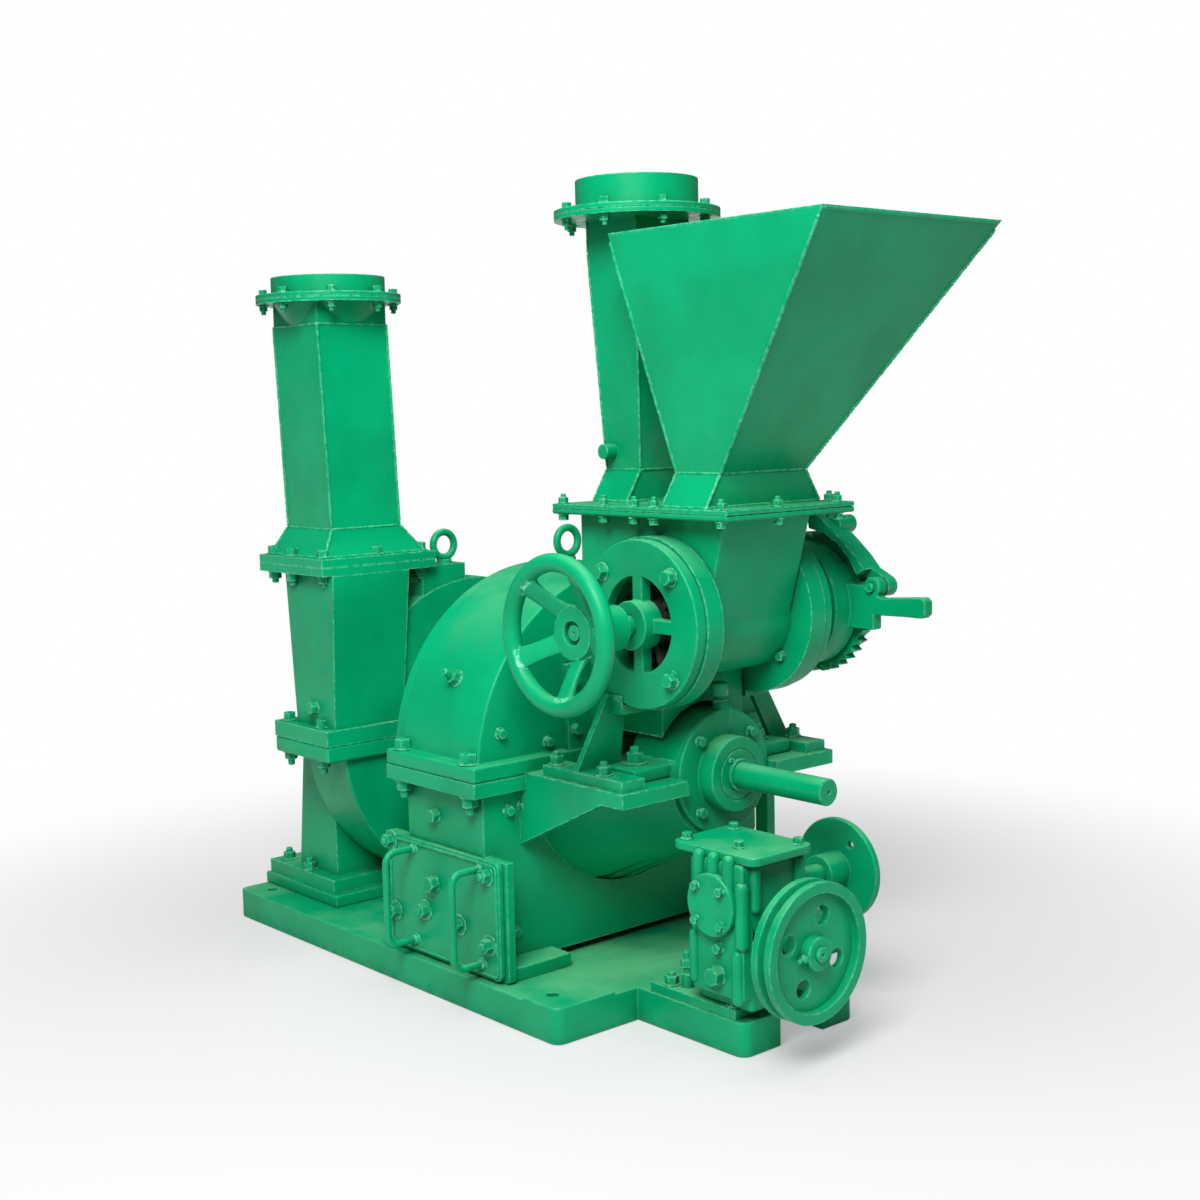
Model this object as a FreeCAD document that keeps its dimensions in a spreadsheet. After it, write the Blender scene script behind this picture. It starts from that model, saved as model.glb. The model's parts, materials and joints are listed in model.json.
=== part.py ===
"""Impact pulveriser on a cast bed, with blower, roller feeder, hopper and worm gearbox.

All lengths are in millimetres. +X runs along the main shaft to its drive end, +Y to the
rear and +Z up. The origin is on the floor, under the shaft, in the mill's middle plane.
"""
import FreeCAD, Part
import math
import os

import Sketcher

# Driving dimensions of the machine
SIZES = {
    "shaft_radius": 25,
    "shaft_free_length": 217,
    "running_gap": 0.05,
    "seat_gap": 0.3,
    "bed_back": 782,
    "bed_front": 368,
    "bed_half_width": 402,
    "bed_height": 64,
    "scroll_floor_gap": 29,
    "bed_corner": 22,
    "bed_pad_rise": 5,
    "bed_pad_length": 100,
    "bed_pad_width": 142,
    "lobe_end": 645,
    "lobe_near": 204,
    "lobe_far": 93,
    "notch_near": 108,
    "notch_far": 3,
    "notch_depth": 100,
    "anchor_radius": 11,
    "anchor_inset_back": 64,
    "anchor_inset_front": 71,
    "anchor_inset_side": 51,
    "mill_half_width": 125,
    "mill_drum_radius": 382,
    "mill_floor_gap": 16,
    "mill_rear_slope": 145,
    "mill_foot_reach": 185,
    "mill_foot_length": 160,
    "mill_foot_height": 26,
    "mill_flange_margin": 21,
    "mill_flange_reach": 25,
    "mill_flange_thickness": 30,
    "mill_ring_thickness": 36,
    "mill_ring_step": 6,
    "neck_inset": 10,
    "door_half_width": 183,
    "door_floor_gap": 4,
    "door_height": 232,
    "door_thickness": 12,
    "door_frame_thickness": 18,
    "door_frame_margin": 10,
    "door_corner": 14,
    "handle_rod": 7,
    "handle_reach": 68,
    "handle_rise": 20,
    "handle_length": 200,
    "handle_left": -93,
    "handle_right": 127,
    "bracket_lip": 35,
    "table_rise": 4,
    "gusset_setback": 60,
    "leg_back": 232,
    "leg_width": 34,
    "leg_thickness": 22,
    "bracket_half_width": 284,
    "table_thickness": 28,
    "gusset_depth": 110,
    "gusset_thickness": 24,
    "trough_radius": 128,
    "trough_root_radius": 262,
    "housing_radius": 118,
    "housing_back": 260,
    "housing_front": 392,
    "housing_foot_half_width": 212,
    "housing_foot_height": 26,
    "housing_foot_back": 34,
    "housing_foot_front": 12,
    "cover_radius": 120,
    "cover_thickness": 12,
    "cover_boss_radius": 72,
    "cover_boss_length": 38,
    "seal_ring_radius": 48,
    "seal_ring_length": 10,
    "shaft_shoulder_radius": 31,
    "shaft_shoulder_length": 8,
    "grease_pipe_radius": 8,
    "grease_cup_radius": 17,
    "grease_cup_height": 30,
    "grease_pipe_length": 24,
    "grease_cup_inset": 12,
    "grease_cup_y": 12,
    "blower_back": 530,
    "blower_front": 378,
    "blower_low_radius": 357,
    "blower_high_radius": 327,
    "blower_flange_back": 577,
    "blower_flange_front": 364,
    "blower_flange_near": 407,
    "blower_flange_far": 380,
    "blower_flange_thickness": 34,
    "neck_bottom_back": 524,
    "neck_bottom_front": 374,
    "neck_bottom_near": 381,
    "neck_bottom_far": 206,
    "neck_top_back": 546,
    "neck_top_front": 356,
    "neck_top_near": 383,
    "neck_top_far": 190,
    "outlet_rise": 361,
    "outlet_flange_back": 612,
    "outlet_flange_front": 358,
    "outlet_flange_near": 407,
    "outlet_flange_far": 118,
    "outlet_flange_thickness": 18,
    "sheet": 6,
    "duct_foot_height": 58,
    "duct_foot_inset": 18,
    "duct_back": 577,
    "duct_front": 402,
    "duct_near": 352,
    "duct_far": 180,
    "duct_height": 431,
    "duct_lean": 10,
    "duct_throat_height": 44,
    "collar_radius": 121,
    "collar_flange_radius": 154,
    "vent_flange_radius": 164,
    "collar_flange_thickness": 10,
    "collar_height": 47,
    "throat_radius": 190,
    "lug_rise": 35,
    "lug_length": 58,
    "lug_inset": 4,
    "lug_near": 138,
    "lug_far": 22,
    "eyebolt_ring": 28,
    "eyebolt_rod": 8,
    "eyebolt_collar": 9,
    "eyebolt_inset_x": 30,
    "blower_eyebolt_y": 60,
    "mill_eyebolt_x": 50,
    "outboard_back": 690,
    "pedestal_front": 532,
    "pedestal_top_back": 660,
    "pedestal_half_width": 290,
    "pedestal_drop": 78,
    "pedestal_foot_half_width": 321,
    "pedestal_foot_back": 773,
    "pedestal_foot_front": 500,
    "pedestal_foot_thickness": 30,
    "riser_half_width": 329,
    "riser_front": 480,
    "riser_thickness": 26,
    "outboard_radius": 88,
    "outboard_cover_radius": 96,
    "outboard_boss_reach": 20,
    "outboard_cap_length": 26,
    "feeder_x": 362,
    "feeder_rise": 298,
    "barrel_radius": 110,
    "barrel_wall": 12,
    "feed_box_drop": 90,
    "barrel_half_length": 157,
    "barrel_flange_radius": 162,
    "barrel_flange_thickness": 40,
    "feed_box_back": 128,
    "feed_box_front": 526,
    "feed_box_half_width": 114,
    "feed_plate_back": 92,
    "feed_plate_front": 572,
    "feed_plate_near": 155,
    "feed_plate_far": 185,
    "feed_plate_rise": 195,
    "feed_plate_thickness": 11,
    "end_cover_step": 4,
    "end_cover_thickness": 24,
    "spider_arm_overlap": 6,
    "throat_share": 0.7,
    "shoulder_share": 0.6,
    "window_radius": 90,
    "spider_boss_radius": 46,
    "spider_boss_length": 46,
    "spider_arm_width": 26,
    "feeder_shaft_radius": 20,
    "feeder_shaft_near": 14,
    "feeder_shaft_far": 30,
    "roller_turn": 15,
    "roller_hub_radius": 42,
    "roller_radius": 92,
    "vane_count": 6,
    "vane_thickness": 12,
    "handwheel_plane": 373,
    "handwheel_radius": 130,
    "handwheel_rim": 17,
    "handwheel_hub_radius": 50,
    "handwheel_hub_length": 44,
    "handwheel_hub_set_back": 33,
    "handwheel_sleeve_radius": 42,
    "handwheel_sleeve_length": 62,
    "handwheel_turn": 46,
    "spoke_width": 38,
    "spoke_thickness": 14,
    "spoke_set_back": 14,
    "spoke_overlap": 5,
    "spoke_count": 5,
    "throat_back": 387,
    "throat_front": 501,
    "throat_near": 98,
    "throat_far": 128,
    "hopper_foot_height": 62,
    "hopper_foot_spread": 38,
    "hopper_flange_thickness": 9,
    "hopper_flange_back": 352,
    "hopper_back": 246,
    "hopper_front": 780,
    "hopper_near": 132,
    "hopper_far": 356,
    "hopper_height": 508,
    "hopper_sheet": 5,
    "vent_x": 152,
    "vent_y": 30,
    "vent_half_width": 49,
    "vent_top_half_width": 70,
    "vent_foot_height": 62,
    "vent_foot_spread": 38,
    "vent_taper_height": 487,
    "vent_height": 549,
    "vent_collar_height": 68,
    "vent_stub_radius": 15,
    "vent_stub_length": 29,
    "vent_stub_rise": 98,
    "chute_half_width": 108,
    "chute_clearance": 12,
    "chute_front": 347,
    "chute_low_rise": 50,
    "chute_front_rise": 64,
    "chute_flange_half_width": 168,
    "chute_flange_low_rise": 30,
    "chute_flange_high_rise": 200,
    "chute_flange_thickness": 16,
    "stand_near_x": 282,
    "stand_far_x": 312,
    "stand_thickness": 12,
    "stand_foot_thickness": 20,
    "stand_foot_back": 189,
    "stand_foot_front": 415,
    "stand_foot_inner": 218,
    "stand_foot_width": 56,
    "stand_foot_margin": 2,
    "stand_high_inner": 146,
    "stand_web_inner": 167,
    "stand_high_outer": 192,
    "stand_overlap": 24,
    "stand_saddle_length": 36,
    "stand_saddle_outer": 184,
    "ratchet_plane": 313,
    "ratchet_width": 26,
    "ratchet_radius": 143,
    "ratchet_root_radius": 132,
    "ratchet_teeth": 36,
    "ratchet_tooth_depth": 2,
    "ratchet_tooth_share": 0.9,
    "ratchet_hub_radius": 44,
    "ratchet_hub_rise": 14,
    "lever_plane": 283,
    "lever_thickness": 24,
    "lever_drum_radius": 124,
    "lever_drum_near": 230,
    "lever_reach": 308,
    "head_low": 41,
    "head_high": 45,
    "head_lip": 5,
    "head_step": 12,
    "tongue_length": 55,
    "tongue_tip": 8,
    "tongue_low": 10,
    "tongue_high": 30,
    "pawl_boss_radius": 20,
    "pawl_pin_reach": 178,
    "pawl_pin_rise": 42,
    "pawl_pin_radius": 9,
    "pawl_thickness": 22,
    "pawl_knob_radius": 18,
    "pawl_knob_length": 24,
    "pawl_knob_reach": 168,
    "pawl_front": 276,
    "pawl_clearance": 8,
    "gear_x": 588,
    "gear_y": -135,
    "gear_leg_height": 22,
    "gear_leg_inset": 20,
    "gear_height": 248,
    "gear_axis_rise": 169,
    "worm_rise": 100,
    "gear_boss_radius": 44,
    "gear_nose_length": 22,
    "gear_tail_length": 16,
    "gear_bore_depth": 60,
    "gear_half_length": 66,
    "gear_half_width": 78,
    "gear_foot_back": 400,
    "gear_foot_front": 620,
    "gear_foot_near": 200,
    "gear_foot_far": 40,
    "gear_foot_thickness": 18,
    "gear_plate_back": 470,
    "gear_plate_front": 678,
    "gear_plate_near": 208,
    "gear_plate_far": 50,
    "gear_plate_thickness": 16,
    "gear_plate_corner": 20,
    "side_cover_radius": 57,
    "side_cover_reach": 16,
    "output_shaft_radius": 20,
    "crank_plane": 108,
    "crank_radius": 97,
    "crank_thickness": 14,
    "crank_boss_radius": 35,
    "crank_boss_length": 52,
    "crank_hole_circle": 62,
    "crank_hole_radius": 7,
    "crank_hole_turn": 56.5,
    "output_shaft_reach": 4,
    "worm_shaft_radius": 14,
    "pulley_front": 762,
    "pulley_width": 44,
    "pulley_radius": 125,
    "pulley_groove_depth": 13,
    "pulley_groove_width": 17,
    "pulley_rim_depth": 20,
    "pulley_web": 14,
    "pulley_hub_radius": 30,
    "pulley_hub_length": 56,
    "pulley_hub_shift": 4,
    "pulley_hole_circle": 66,
    "pulley_hole_radius": 17,
    "pulley_hole_turn": 68,
    "pulley_hole_count": 4,
    "worm_shaft_reach": 10,
}

NODES_FOLDER = "parts"

doc = FreeCAD.newDocument("ImpactPulveriser")
sheet = doc.addObject("Spreadsheet::Sheet", "Sizes")
for row, (alias, number) in enumerate(SIZES.items(), start=1):
    sheet.set(f"A{row}", alias)
    sheet.set(f"B{row}", str(number))
    sheet.setAlias(f"B{row}", alias)
doc.recompute()


class Dim:
    """A length that knows both its number and its formula in the sheet."""

    def __init__(self, number, formula):
        self.number = float(number)
        self.formula = formula

    def __add__(self, other):
        other = dim(other)
        return Dim(self.number + other.number, f"({self.formula} + {other.formula})")

    def __sub__(self, other):
        other = dim(other)
        return Dim(self.number - other.number, f"({self.formula} - {other.formula})")

    def __mul__(self, other):
        other = dim(other)
        return Dim(self.number * other.number, f"({self.formula} * {other.formula})")

    def __truediv__(self, other):
        other = dim(other)
        return Dim(self.number / other.number, f"({self.formula} / {other.formula})")

    def __radd__(self, other):
        return dim(other) + self

    def __rsub__(self, other):
        return dim(other) - self

    def __rmul__(self, other):
        return dim(other) * self

    def __neg__(self):
        return Dim(-self.number, f"(-{self.formula})")


def dim(value):
    return value if isinstance(value, Dim) else Dim(value, f"({float(value)})")


def on_circle(u, v, radius, turn):
    """A point of a circle about (u, v), at a turn in degrees."""
    turn = dim(turn)
    angle = math.radians(turn.number)
    across = Dim(math.cos(angle), f"cos({turn.formula} * 1 deg)")
    up = Dim(math.sin(angle), f"sin({turn.formula} * 1 deg)")
    return u + radius * across, v + radius * up


class SheetSizes:
    """Gives every alias of the sheet as a Dim, such as SHAFT_Z."""

    def __getattr__(self, alias):
        return Dim(SIZES[alias], f"Sizes.{alias}")


S = SheetSizes()
NODES = []

# Levels above the floor, and reaches from the middle of the mill
SHAFT_Z = S.bed_height + S.scroll_floor_gap + S.blower_low_radius
TABLE_Z = SHAFT_Z + S.table_rise
FEEDER_Z = SHAFT_Z + S.feeder_rise
FEED_PLATE_Z = FEEDER_Z + S.feed_plate_rise
FEED_PLATE_TOP = FEED_PLATE_Z + S.feed_plate_thickness
DUCT_FLANGE_TOP = FEED_PLATE_TOP + S.hopper_flange_thickness
OUTLET_Z = SHAFT_Z + S.outlet_rise
LUG_TOP = SHAFT_Z + S.blower_high_radius + S.lug_rise
DOOR_LOW = S.bed_height + S.door_floor_gap
DOOR_HIGH = DOOR_LOW + S.door_height
FLANGE_HALF_WIDTH = S.mill_half_width + S.mill_flange_margin
FLANGE_HALF_LENGTH = S.mill_drum_radius + S.mill_flange_reach
NECK_FRONT = S.mill_drum_radius - S.neck_inset
END_COVER_RADIUS = S.barrel_flange_radius - S.end_cover_step
BRACKET_REACH = S.housing_front + S.bracket_lip
COVER_TIP = S.housing_front + S.cover_thickness + S.cover_boss_length
GEAR_FOOT_TOP = S.bed_height + S.gear_foot_thickness
GEAR_LOW = GEAR_FOOT_TOP + S.gear_leg_height
GEAR_AXIS_Z = GEAR_LOW + S.gear_axis_rise
WORM_Z = GEAR_LOW + S.worm_rise
GEAR_NOSE_X = S.gear_x + S.gear_half_length + S.gear_nose_length
GEAR_TAIL_Y = S.gear_y + S.gear_half_width + S.gear_tail_length
PAWL_X = S.feeder_x + S.pawl_pin_reach
PAWL_Z = FEEDER_Z + S.pawl_pin_rise


def bind(thing, prop, value):
    thing.setExpression(prop, dim(value).formula)


def place(thing, x, y, z):
    for axis, value in zip("xyz", (x, y, z)):
        bind(thing, f"Placement.Base.{axis}", value)


def node(label, thing):
    """Makes an object one of the named sub-parts."""
    thing.Label = label
    NODES.append(thing)
    return thing


def block(name, xs, ys, zs):
    """A box between two values on each axis."""
    box = doc.addObject("Part::Box", name)
    for prop, (low, high) in zip(("Length", "Width", "Height"), (xs, ys, zs)):
        bind(box, prop, dim(high) - low)
    place(box, xs[0], ys[0], zs[0])
    return box


X_AXIS = FreeCAD.Vector(1, 0, 0)
TURNS = {
    "X": FreeCAD.Rotation(FreeCAD.Vector(0, 1, 0), 90),
    "Y": FreeCAD.Rotation(FreeCAD.Vector(1, 0, 0), -90),
    "Z": FreeCAD.Rotation(),
}


def at_axis(axis, start, u, v):
    """The x, y and z of a point at start along an axis, with its other two coordinates."""
    return {"X": (start, u, v), "Y": (u, start, v), "Z": (u, v, start)}[axis]


def rod(name, axis, radius, start, end, u, v):
    """A cylinder along X, Y or Z from start to end; u and v are its other coordinates."""
    cylinder = doc.addObject("Part::Cylinder", name)
    cylinder.Placement.Rotation = TURNS[axis]
    bind(cylinder, "Radius", radius)
    bind(cylinder, "Height", dim(end) - start)
    place(cylinder, *at_axis(axis, start, u, v))
    return cylinder


def taper(name, axis, radius_1, radius_2, start, end, u, v):
    cone = doc.addObject("Part::Cone", name)
    cone.Placement.Rotation = TURNS[axis]
    bind(cone, "Radius1", radius_1)
    bind(cone, "Radius2", radius_2)
    bind(cone, "Height", dim(end) - start)
    place(cone, *at_axis(axis, start, u, v))
    return cone


def fuse(name, pieces):
    union = doc.addObject("Part::MultiFuse", name)
    union.Shapes = pieces
    return union


def cut(name, base, tool):
    difference = doc.addObject("Part::Cut", name)
    difference.Base = base
    difference.Tool = tool
    return difference


def common(name, first, second):
    overlap = doc.addObject("Part::MultiCommon", name)
    overlap.Shapes = [first, second]
    return overlap


PLANE_NORMALS = {"XY_Plane": "z", "XZ_Plane": "y", "YZ_Plane": "x"}


def origin_plane(body, role):
    return next(item for item in body.Origin.OriginFeatures if item.Role == role)


def sketch_on(body, role, name):
    sketch = body.newObject("Sketcher::SketchObject", name)
    sketch.AttachmentSupport = [(origin_plane(body, role), "")]
    sketch.MapMode = "FlatFace"
    return sketch


def pin_point(sketch, geometry, position, point):
    """Ties a sketch point to the origin by two formulas."""
    for kind, value in zip(("DistanceX", "DistanceY"), point):
        value = dim(value)
        index = sketch.addConstraint(Sketcher.Constraint(kind, geometry, position, value.number))
        sketch.setExpression(f"Constraints[{index}]", value.formula)


def draw_outline(sketch, points):
    """Adds one closed outline of straight edges, every corner tied to the sheet."""
    first = sketch.GeometryCount
    corners = [FreeCAD.Vector(dim(u).number, dim(v).number, 0) for u, v in points]
    count = len(corners)
    for i, corner in enumerate(corners):
        sketch.addGeometry(Part.LineSegment(corner, corners[(i + 1) % count]))
    for i in range(count):
        following = first + (i + 1) % count
        sketch.addConstraint(Sketcher.Constraint("Coincident", first + i, 2, following, 1))
    for i, point in enumerate(points):
        pin_point(sketch, first + i, 1, point)


def draw_circle(sketch, centre, radius):
    place_at = FreeCAD.Vector(dim(centre[0]).number, dim(centre[1]).number, 0)
    up = FreeCAD.Vector(0, 0, 1)
    index = sketch.addGeometry(Part.Circle(place_at, up, dim(radius).number))
    pin_point(sketch, index, 3, centre)
    size = sketch.addConstraint(Sketcher.Constraint("Radius", index, dim(radius).number))
    sketch.setExpression(f"Constraints[{size}]", dim(radius).formula)


def new_body(name):
    return doc.addObject("PartDesign::Body", name)


def prism(name, role, outline, low, high):
    """A body with one padded outline, between low and high along the plane's normal."""
    body = new_body(name)
    sketch = sketch_on(body, role, f"{name}_outline")
    draw_outline(sketch, outline)
    pad = body.newObject("PartDesign::Pad", f"{name}_pad")
    pad.Profile = sketch
    bind(pad, "Length", dim(high) - low)
    start = high if role == "XZ_Plane" else low
    bind(body, f"Placement.Base.{PLANE_NORMALS[role]}", start)
    return body


def rounded_plate(name, role, outline, low, high, radius):
    """A flat plate with its corners rounded."""
    body = prism(name, role, outline, low, high)
    doc.recompute()
    pad = doc.getObject(f"{name}_pad")
    flat_sides = {"XY_Plane": ("XLength", "YLength"), "XZ_Plane": ("XLength", "ZLength")}[role]
    corners = [f"Edge{i}" for i, edge in enumerate(pad.Shape.Edges, start=1)
               if all(getattr(edge.BoundBox, side) < 0.01 for side in flat_sides)]
    fillet = body.newObject("PartDesign::Fillet", f"{name}_corners")
    fillet.Base = (pad, corners)
    bind(fillet, "Radius", radius)
    return body


def pocket_through(body, sketch, name, depth, reverse=False):
    pocket = body.newObject("PartDesign::Pocket", name)
    pocket.Profile = sketch
    bind(pocket, "Length", depth)
    pocket.Reversed = reverse
    return pocket


def turned(name, axis, profile):
    """A body turned about X, Y or Z from (along, radius) points, in its own frame."""
    body = new_body(name)
    sketch = sketch_on(body, "XY_Plane", f"{name}_profile")
    draw_outline(sketch, profile)
    turn = body.newObject("PartDesign::Revolution", f"{name}_turn")
    turn.Profile = sketch
    turn.ReferenceAxis = (sketch, ["H_Axis"])
    turn.Angle = 360
    swings = {
        "X": FreeCAD.Rotation(),
        "Y": FreeCAD.Rotation(FreeCAD.Vector(0, 0, 1), 90),
        "Z": FreeCAD.Rotation(FreeCAD.Vector(0, 1, 0), -90),
    }
    body.Placement.Rotation = swings[axis]
    return body


def polar_copies(body, feature, name, sketch, count):
    pattern = body.newObject("PartDesign::PolarPattern", name)
    pattern.Originals = [feature]
    pattern.Axis = (sketch, ["N_Axis"])
    pattern.Angle = 360
    bind(pattern, "Occurrences", count)
    body.Tip = pattern
    return pattern


def frustum(name, low_box, low_z, high_box, high_z):
    """A solid between two level rectangles, each given as (x0, x1, y0, y1)."""
    body = new_body(name)
    sketches = []
    for tag, box, level in (("low", low_box, low_z), ("high", high_box, high_z)):
        x0, x1, y0, y1 = box
        sketch = sketch_on(body, "XY_Plane", f"{name}_{tag}")
        draw_outline(sketch, [(x0, y0), (x1, y0), (x1, y1), (x0, y1)])
        bind(sketch, "AttachmentOffset.Base.z", level)
        sketches.append(sketch)
    loft = body.newObject("PartDesign::AdditiveLoft", f"{name}_loft")
    loft.Profile = sketches[0]
    loft.Sections = [sketches[1]]
    loft.Ruled = True
    return body


def grown(box, by):
    x0, x1, y0, y1 = box
    return (dim(x0) - by, dim(x1) + by, dim(y0) - by, dim(y1) + by)


def base_plate():
    """Cast bed with a lobe for the gearbox and a notch in the lobe's end."""
    near, far = -S.bed_half_width, S.bed_half_width
    notch_root = S.lobe_end - S.notch_depth
    outline = [
        (-S.bed_back, near), (S.bed_front, near), (S.bed_front, -S.lobe_near),
        (S.lobe_end, -S.lobe_near), (S.lobe_end, -S.notch_near), (notch_root, -S.notch_near),
        (notch_root, S.notch_far), (S.lobe_end, S.notch_far), (S.lobe_end, S.lobe_far),
        (S.bed_front, S.lobe_far), (S.bed_front, far), (-S.bed_back, far),
    ]
    body = prism("BasePlate", "XY_Plane", outline, 0, S.bed_height)
    pads = sketch_on(body, "XY_Plane", "BasePlate_pads")
    pad_back = S.bed_front - S.bed_pad_length
    for side in (-1, 1):
        edge = side * S.bed_half_width
        inner = side * (S.bed_half_width - S.bed_pad_width)
        draw_outline(pads, [(pad_back, edge), (S.bed_front, edge), (S.bed_front, inner), (pad_back, inner)])
    rise = body.newObject("PartDesign::Pad", "BasePlate_rise")
    rise.Profile = pads
    bind(rise, "Length", S.bed_height + S.bed_pad_rise)
    holes = sketch_on(body, "XY_Plane", "BasePlate_anchors")
    for x in (-(S.bed_back - S.anchor_inset_back), S.bed_front - S.anchor_inset_front):
        for side in (-1, 1):
            draw_circle(holes, (x, side * (S.bed_half_width - S.anchor_inset_side)), S.anchor_radius)
    pocket_through(body, holes, "BasePlate_holes", S.bed_height + 2 * S.bed_pad_rise, reverse=True)
    doc.recompute()
    round_upright_corners(body, "BasePlate_holes", S.bed_corner)
    return node("base_plate", body)


def round_upright_corners(body, feature_name, radius):
    """Rounds the upright edges at the outer corners of the bed."""
    feature = doc.getObject(feature_name)
    names = []
    ends = (-SIZES["bed_back"], SIZES["bed_front"], SIZES["lobe_end"])
    for i, edge in enumerate(feature.Shape.Edges, start=1):
        box = edge.BoundBox
        upright = box.XLength < 0.01 and box.YLength < 0.01 and box.ZLength > 1
        on_side = abs(abs(box.YMin) - SIZES["bed_half_width"]) < 0.01
        on_lobe = abs(box.YMin + SIZES["lobe_near"]) < 0.01 or abs(box.YMin - SIZES["lobe_far"]) < 0.01
        at_end = any(abs(box.XMin - end) < 0.01 for end in ends)
        outer = on_side or (on_lobe and abs(box.XMin - SIZES["lobe_end"]) < 0.01)
        if upright and at_end and outer:
            names.append(f"Edge{i}")
    fillet = body.newObject("PartDesign::Fillet", f"{body.Name}_corners")
    fillet.Base = (feature, names)
    bind(fillet, "Radius", radius)
    return fillet


def mill_lower_casing():
    """Lower half of the grinding chamber, with its neck to the door, feet and joint flange."""
    flange_low = SHAFT_Z - S.mill_flange_thickness
    slope = S.mill_rear_slope
    underside = S.bed_height + S.mill_floor_gap
    profile = [
        (-NECK_FRONT, flange_low), (-NECK_FRONT, underside),
        (NECK_FRONT - slope, underside), (NECK_FRONT, underside + slope),
        (NECK_FRONT, flange_low),
    ]
    chamber = prism("MillChamber", "YZ_Plane", profile, -S.mill_half_width, S.mill_half_width)
    flange = block("MillLowerFlange", (-FLANGE_HALF_WIDTH, FLANGE_HALF_WIDTH),
                   (-FLANGE_HALF_LENGTH, FLANGE_HALF_LENGTH), (flange_low, SHAFT_Z))
    pieces = [chamber, flange]
    foot_inner = NECK_FRONT - S.mill_foot_length
    foot_top = S.bed_height + S.mill_foot_height
    for tag, ys in (("Front", (-NECK_FRONT, -foot_inner)), ("Rear", (foot_inner, NECK_FRONT))):
        pieces.append(block(f"MillFoot{tag}", (-S.mill_foot_reach, S.mill_foot_reach), ys,
                            (S.bed_height, foot_top)))
    frame_half = S.door_half_width + S.door_frame_margin
    frame = block("MillDoorFrame", (-frame_half, frame_half),
                  (-NECK_FRONT, -NECK_FRONT + S.door_frame_thickness), (DOOR_LOW, DOOR_HIGH))
    return node("mill_lower_casing", fuse("MillLowerCasing", pieces + [frame]))


def mill_upper_cover():
    """Half-round upper cover with its joint flange."""
    drum = rod("CoverDrum", "X", S.mill_drum_radius, -S.mill_half_width, S.mill_half_width, 0, SHAFT_Z)
    flange_top = SHAFT_Z + S.mill_flange_thickness
    room = FLANGE_HALF_LENGTH
    upper = block("CoverUpper", (-FLANGE_HALF_WIDTH, FLANGE_HALF_WIDTH), (-room, room),
                  (SHAFT_Z, SHAFT_Z + S.mill_drum_radius + S.mill_flange_thickness))
    dome = common("CoverDome", drum, upper)
    flange = block("CoverFlange", (-FLANGE_HALF_WIDTH, FLANGE_HALF_WIDTH), (-room, room),
                   (SHAFT_Z, flange_top))
    return node("mill_upper_cover", fuse("MillUpperCover", [dome, flange]))


def mill_ring():
    """Joint ring on the blower side of the mill, and the round throat to the blower."""
    ring_back = -S.mill_half_width - S.mill_ring_thickness
    radius = S.mill_drum_radius - S.mill_ring_step
    ring = rod("RingDisc", "X", radius, ring_back, -S.mill_half_width, 0, SHAFT_Z)
    keep = block("RingUpper", (ring_back, -S.mill_half_width), (-S.mill_drum_radius, S.mill_drum_radius),
                 (SHAFT_Z + S.mill_flange_thickness, SHAFT_Z + S.mill_drum_radius))
    half = common("RingHalf", ring, keep)
    throat = rod("RingThroat", "X", S.throat_radius, -S.blower_front, -S.mill_half_width, 0, SHAFT_Z)
    clear = fuse("RingClear", [
        block("RingClearMill", (-FLANGE_HALF_WIDTH, -S.mill_half_width),
              (-FLANGE_HALF_LENGTH, FLANGE_HALF_LENGTH),
              (SHAFT_Z - S.mill_flange_thickness, SHAFT_Z + S.mill_flange_thickness)),
        block("RingClearBlower", (-S.blower_front - 1, -S.blower_flange_front),
              (-S.blower_flange_near, S.blower_flange_far),
              (SHAFT_Z - S.blower_flange_thickness, SHAFT_Z + S.blower_flange_thickness)),
    ])
    return node("blower_throat", cut("BlowerThroat", fuse("RingAll", [half, throat]), clear))


def cleanout_door():
    """Bolted plate over the neck, with rounded corners."""
    back = -NECK_FRONT
    outline = [(-S.door_half_width, DOOR_LOW), (S.door_half_width, DOOR_LOW),
               (S.door_half_width, DOOR_HIGH), (-S.door_half_width, DOOR_HIGH)]
    plate = rounded_plate("CleanoutDoor", "XZ_Plane", outline, back - S.door_thickness, back, S.door_corner)
    return node("cleanout_door", plate)


def door_handle(label, x):
    """Bent round bar, welded to the door at both ends."""
    face = -(NECK_FRONT + S.door_thickness)
    grip = face - S.handle_reach
    low = DOOR_LOW + S.handle_rise
    high = low + S.handle_length
    pieces = [rod(f"{label}_grip", "Z", S.handle_rod, low, high, x, grip)]
    for tag, level in (("low", low + S.handle_rod), ("high", high - S.handle_rod)):
        pieces.append(rod(f"{label}_{tag}", "Y", S.handle_rod, grip, face, x, level))
    return node(label, fuse(f"{label}_bar", pieces))


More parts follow.
